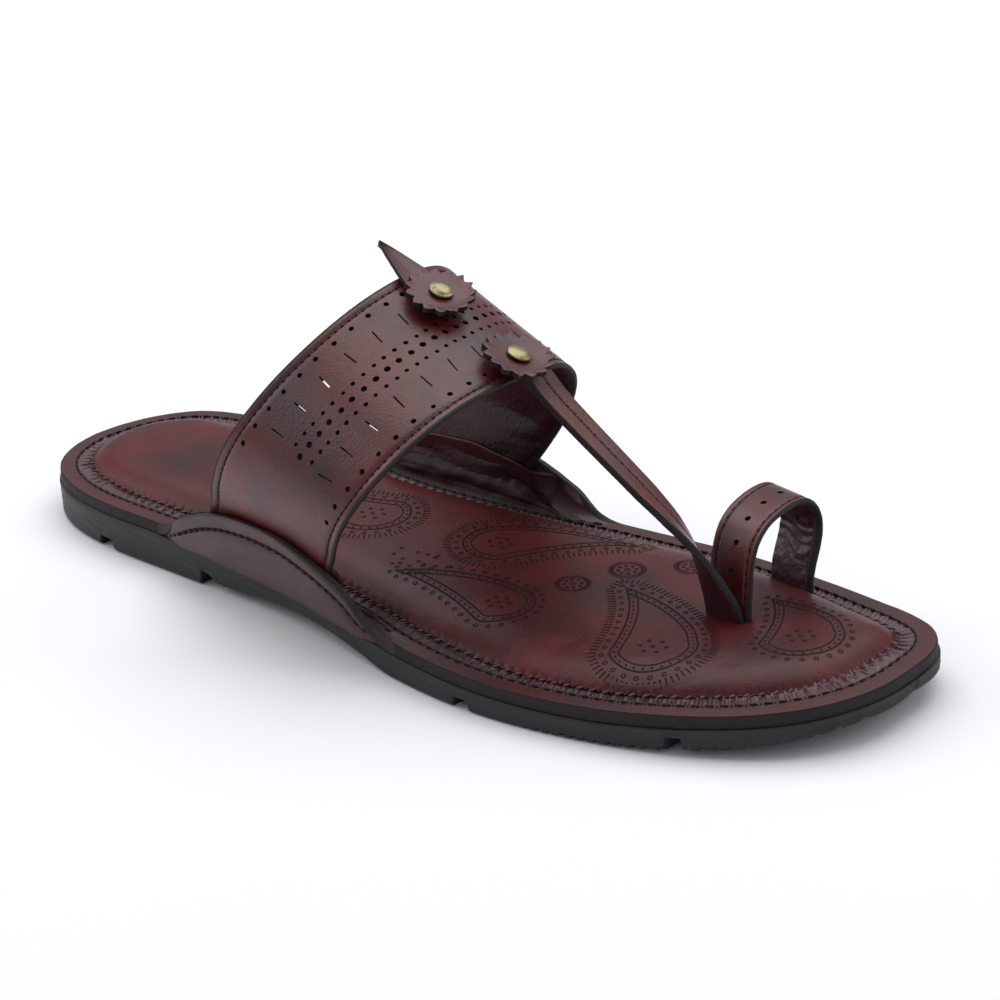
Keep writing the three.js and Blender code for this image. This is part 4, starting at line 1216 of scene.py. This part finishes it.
def leaf(seat, height, spin):
    """A pointed tongue: width is a round root and then a taper to the tip; across, it is
    slightly cupped, and along, it lifts towards the tip."""
    along, across = 90, 17
    y = np.linspace(0, 1, along) * (LEAF_LENGTH + LEAF_HALF) - LEAF_HALF
    root = np.sqrt(np.clip(1 - (np.minimum(y, 0) / LEAF_HALF) ** 2, 0, 1))
    taper = (1 - np.clip(y / LEAF_LENGTH, 0, 1) ** 1.9) * (1 + .12 * bell(y, 8, 6))
    wide = np.maximum(LEAF_HALF * root * taper, .05)
    k = np.linspace(-1, 1, across)
    x = wide[:, None] * k[None]
    lift = .8 * smooth(4, 26, y)[:, None] + .5 * (k ** 2)[None] * smooth(3, 10, y)[:, None]
    fold = -.25 * bell(k, 0, .12)[None] * smooth(3, 9, y)[:, None]
    yy = np.broadcast_to(y[:, None], x.shape)
    top = np.stack([x, yy, LEAF_LEATHER + lift + fold], -1)
    low = np.stack([x, yy, lift + fold], -1)[:, ::-1][:, ::4]
    grid = np.concatenate([top, low], 1)
    which = np.array([0] * (across - 1) + [1] + [2] * (low.shape[1] - 1) + [1])
    shape = grid.shape
    grid = stand(grid.reshape(-1, 3), seat, height, spin).reshape(shape)
    tongue = tube("leaf_tongue", grid, [STRAP, EDGE, LINING], which=which)
    return stands_for(tongue, "strap_leather", "leaf")


# ---------------------------------------------------------------- motifs stamped on the footbed

# Teardrops: middle of the bulb, tip, radius of the bulb, sideways bend, fringed or not.
TEARDROPS = [((119, -3.5), (92, 2), 10.5, 3, True), ((180.5, -23), (147, -25.5), 9.4, -3, False),
             ((159, 3), (189, 25), 9.8, 3, True), ((228, -20.6), (202, 2), 11, -3.5, True),
             ((256.5, 1.5), (237, 17), 10.6, -3, False)]
# Sunbursts: middle, radius.
SUNBURSTS = [((80, 6.9), 5.8), ((78.5, -13), 5.8), ((189.5, -4), 4.2), ((196, 10.5), 4.4),
             ((208.7, 21.9), 4.4)]


def ribbon(line, width, closed=False):
    """A flat line of ink: each point moved half a width to both sides."""
    along = (np.roll(line, -1, 0) - np.roll(line, 1, 0)) if closed else np.gradient(line, axis=0)
    side = unit(np.stack([-along[:, 1], along[:, 0]], -1)) * width / 2
    grid = np.stack([line - side, line + side], 1)
    return grid.reshape(-1, 2), quads(len(line), 2, closed, False)


def spots(centres, radius, sides=8):
    """Small round dots of ink."""
    a = np.arange(sides) / sides * 2 * pi
    rim = np.stack([np.cos(a), np.sin(a)], -1) * radius
    points = np.concatenate([centres[:, None] + rim[None], centres[:, None]], 1)
    shift = (np.arange(len(centres)) * (sides + 1))[:, None, None]
    return points.reshape(-1, 2), (fan(np.arange(sides), sides)[None] + shift).reshape(-1, 3)


def circles(centres, radius, width=.32, sides=10):
    """Small open circles of ink."""
    a = np.arange(sides) / sides * 2 * pi
    way = np.stack([np.cos(a), np.sin(a)], -1)
    both = np.stack([way * (radius - width), way * radius], 1).reshape(-1, 2)
    points = centres[:, None] + both[None]
    shift = (np.arange(len(centres)) * 2 * sides)[:, None, None]
    return points.reshape(-1, 2), (quads(sides, 2, True, False)[None, :, ::-1] + shift).reshape(-1, 4)


def rays(centres, ways, length, width=.5):
    """Short strokes of ink: a narrow kite along each way."""
    side = np.stack([-ways[:, 1], ways[:, 0]], -1) * width / 2
    a, b = centres - ways * length / 2, centres + ways * length / 2
    points = np.stack([a - side, b - side * .6, b + side * .6, a + side], 1)
    return points.reshape(-1, 2), np.arange(len(centres) * 4).reshape(-1, 4)


def drop_outline(bulb, tip, radius, bend, grow=0.0, count=140):
    """A teardrop with a curved tip: half width is a circle round the bulb and then a taper to
    the tip, and its middle line bends sideways as the square of the way to the tip."""
    bulb, tip = np.array(bulb, float), np.array(tip, float)
    length = np.linalg.norm(tip - bulb)
    ahead = (tip - bulb) / length
    side = np.array([-ahead[1], ahead[0]])
    s = np.linspace(0, 1, count // 2) ** 2 * (radius + length)
    circle = np.sqrt(np.clip(1 - (1 - s / radius) ** 2, 0, 1))
    way = np.clip((s - radius) / length, 0, 1)
    half = radius * np.where(s < radius, circle, 1 - way ** 1.25)
    middle_line = bend * 4 * way * (1 - way)
    left = bulb + ahead * (s - radius)[:, None] + side * (middle_line + half)[:, None]
    right = bulb + ahead * (s - radius)[:, None] + side * (middle_line - half)[:, None]
    loop = np.concatenate([left, right[::-1][1:-1]])
    along = unit(np.roll(loop, -2, 0) - np.roll(loop, 2, 0))
    return loop + np.stack([-along[:, 1], along[:, 0]], -1) * grow


def spaced(line, pitch):
    """Points every pitch along a closed line, and the way out from it at each."""
    closed = np.concatenate([line, line[:1]])
    gone = arc_along(closed)
    at = np.arange(int(gone[-1] / pitch)) * gone[-1] / int(gone[-1] / pitch)
    pick = lambda s: np.stack([np.interp(s % gone[-1], gone, closed[:, k]) for k in (0, 1)], -1)
    along = unit(pick(at + .3) - pick(at - .3))
    return pick(at), np.stack([-along[:, 1], along[:, 0]], -1)


def flower(centre, radius, count=6):
    """Dots round a middle dot."""
    a = np.arange(count) / count * 2 * pi + .4
    return np.concatenate([[centre], np.array(centre) + radius * np.stack([np.cos(a), np.sin(a)], -1)])


def teardrop_motif(bulb, tip, radius, bend, fringe):
    """A teardrop: two outlines with dots between, dots outside, a flower in its bulb, and
    a fringe of short strokes if it has one."""
    marks = [ribbon(drop_outline(bulb, tip, radius, bend), .5, True),
             ribbon(drop_outline(bulb, tip, radius, bend, -2.2), .42, True)]
    between, _ = spaced(drop_outline(bulb, tip, radius, bend, -1.0), 2.3)
    outside, _ = spaced(drop_outline(bulb, tip, radius, bend, 2.0), 3.4)
    marks += [spots(between, .36), circles(outside, .7), circles(flower(bulb, radius * .3), .62)]
    if fringe:
        strokes, ways = spaced(drop_outline(bulb, tip, radius, bend, 4.4), 1.45)
        marks.append(rays(strokes, ways, 2.2))
    return marks


def sunburst_motif(centre, radius):
    """A ring of dots round an open circle, inside a ring of short strokes."""
    centre = np.array(centre, float)
    a = np.arange(8) / 8 * 2 * pi
    dots = centre + np.stack([np.cos(a), np.sin(a)], -1) * radius * .55
    b = np.arange(34) / 34 * 2 * pi
    ways = np.stack([np.cos(b), np.sin(b)], -1)
    return [circles(centre[None], .9), spots(dots, .55), rays(centre + ways * radius, ways, radius * .36)]


def motifs(cushion):
    """All stamped motifs, joined in one thin sheet of ink laid on the cushion."""
    marks = []
    for teardrop in TEARDROPS:
        marks += teardrop_motif(*teardrop)
    for sunburst in SUNBURSTS:
        marks += sunburst_motif(*sunburst)
    loose = np.random.default_rng(SEED).uniform(-1, 1, (15, 2)) * (9, 6) + (149, -19)
    marks += [circles(loose, .65)]
    points, faces, start = [], {3: [], 4: []}, 0
    for spot, shape in marks:
        points.append(spot)
        faces[shape.shape[1]].append(shape + start)
        start += len(spot)
    flat = np.concatenate(points)
    flat = np.concatenate([flat, np.full((len(flat), 1), 40.0)], 1)
    ink = piece("stamped_motifs", flat, [np.concatenate(faces[4]), np.concatenate(faces[3])], [INK],
                closed=False)
    lay = ink.modifiers.new("lay", "SHRINKWRAP")
    lay.wrap_method, lay.wrap_mode, lay.target = "PROJECT", "ABOVE_SURFACE", cushion
    lay.use_project_z, lay.use_negative_direction, lay.use_positive_direction = True, True, False
    lay.offset = .07 * MM
    applied(ink)
    return stands_for(ink, "footbed_leather")


# ---------------------------------------------------------------- stage

CAMERA_SPOT, CAMERA_TARGET = (.45104, -.47864, .31366), (.0147, .0093, .0271)     # metres
CAMERA_ROLL, LENS = -3.9, 96.73             # degrees, millimetres
FLOOR_HALF = 4e3


def stage():
    """A wide pale floor, soft studio light from above and both sides, and the camera."""
    corners = np.array([(-1, -1, 0), (1, -1, 0), (1, 1, 0), (-1, 1, 0)]) * FLOOR_HALF
    floor = piece("floor", corners, [np.array([[0, 1, 2, 3]])], [floor_finish()], closed=False,
                  soft=False)
    world = bpy.data.worlds.new("studio")
    bpy.context.scene.world = world
    world.use_nodes = True
    sky = world.node_tree.nodes["Background"].inputs
    sky["Color"].default_value = (.93, .95, 1, 1)
    sky["Strength"].default_value = .43
    softbox("overhead", (-.3, .5, 1.5), (0, .05, 0), 2.2, 1.6, 22)
    softbox("left", (-1.1, -.45, .75), (0, 0, .04), .7, .7, 3.2)
    softbox("right", (.9, .75, .6), (0, 0, .03), .5, .9, 2.4)
    lens = bpy.data.cameras.new("camera")
    lens.lens, lens.sensor_width = LENS, 36
    lens.clip_start, lens.clip_end = .05, 20
    camera = bpy.data.objects.new("camera", lens)
    bpy.context.collection.objects.link(camera)
    spot = Vector(CAMERA_SPOT)
    camera.location = spot
    camera.rotation_mode = "QUATERNION"
    aim = (Vector(CAMERA_TARGET) - spot).to_track_quat("-Z", "Y")
    roll = Matrix.Rotation(radians(CAMERA_ROLL), 3, "Z").to_quaternion()
    camera.rotation_quaternion = aim @ roll
    bpy.context.scene.camera = camera
    bpy.context.scene.view_settings.view_transform = "Standard"


def softbox(name, spot, target, wide, tall, power):
    """A large rectangular lamp that faces a target."""
    lamp = bpy.data.lights.new(name, "AREA")
    lamp.shape, lamp.size, lamp.size_y, lamp.energy = "RECTANGLE", wide, tall, power
    thing = bpy.data.objects.new(name, lamp)
    bpy.context.collection.objects.link(thing)
    thing.location = spot
    thing.rotation_mode = "QUATERNION"
    thing.rotation_quaternion = (Vector(target) - Vector(spot)).to_track_quat("-Z", "Y")


# ---------------------------------------------------------------- the sandal

outsole()
raw_edge()
lining_face, lining_out = rim_sheet()
inner_ear_stitches(lining_face, lining_out)
seam_channel()
seam_threads()
ear(-1, "ear_panel_outer", "ear_outer_side")
ear(1, "ear_panel_inner", "ear_inner_side")
cushion = footbed()
motifs(cushion)
instep_band()
toe_loop()
centre_strap()

rear_seat, front_seat = seat_at(.555, .29), seat_at(.553, .93)
leaf(rear_seat, LEAF_SEAT, 1.47)
rear_height = LEAF_SEAT + LEAF_LEATHER + GAP
rosette("rosette_rear_star", "rosette_rear", rear_seat, rear_height, .6, SEED + 20)
rivet("rivet_rear_head", "rivet_rear", rear_seat, rear_height + ROSETTE_LEATHER + GAP)
rosette("rosette_front_star", "rosette_front", front_seat, FRONT_SEAT, .9, SEED + 21)
rivet("rivet_front_head", "rivet_front", front_seat, FRONT_SEAT + ROSETTE_LEATHER + GAP)
stage()
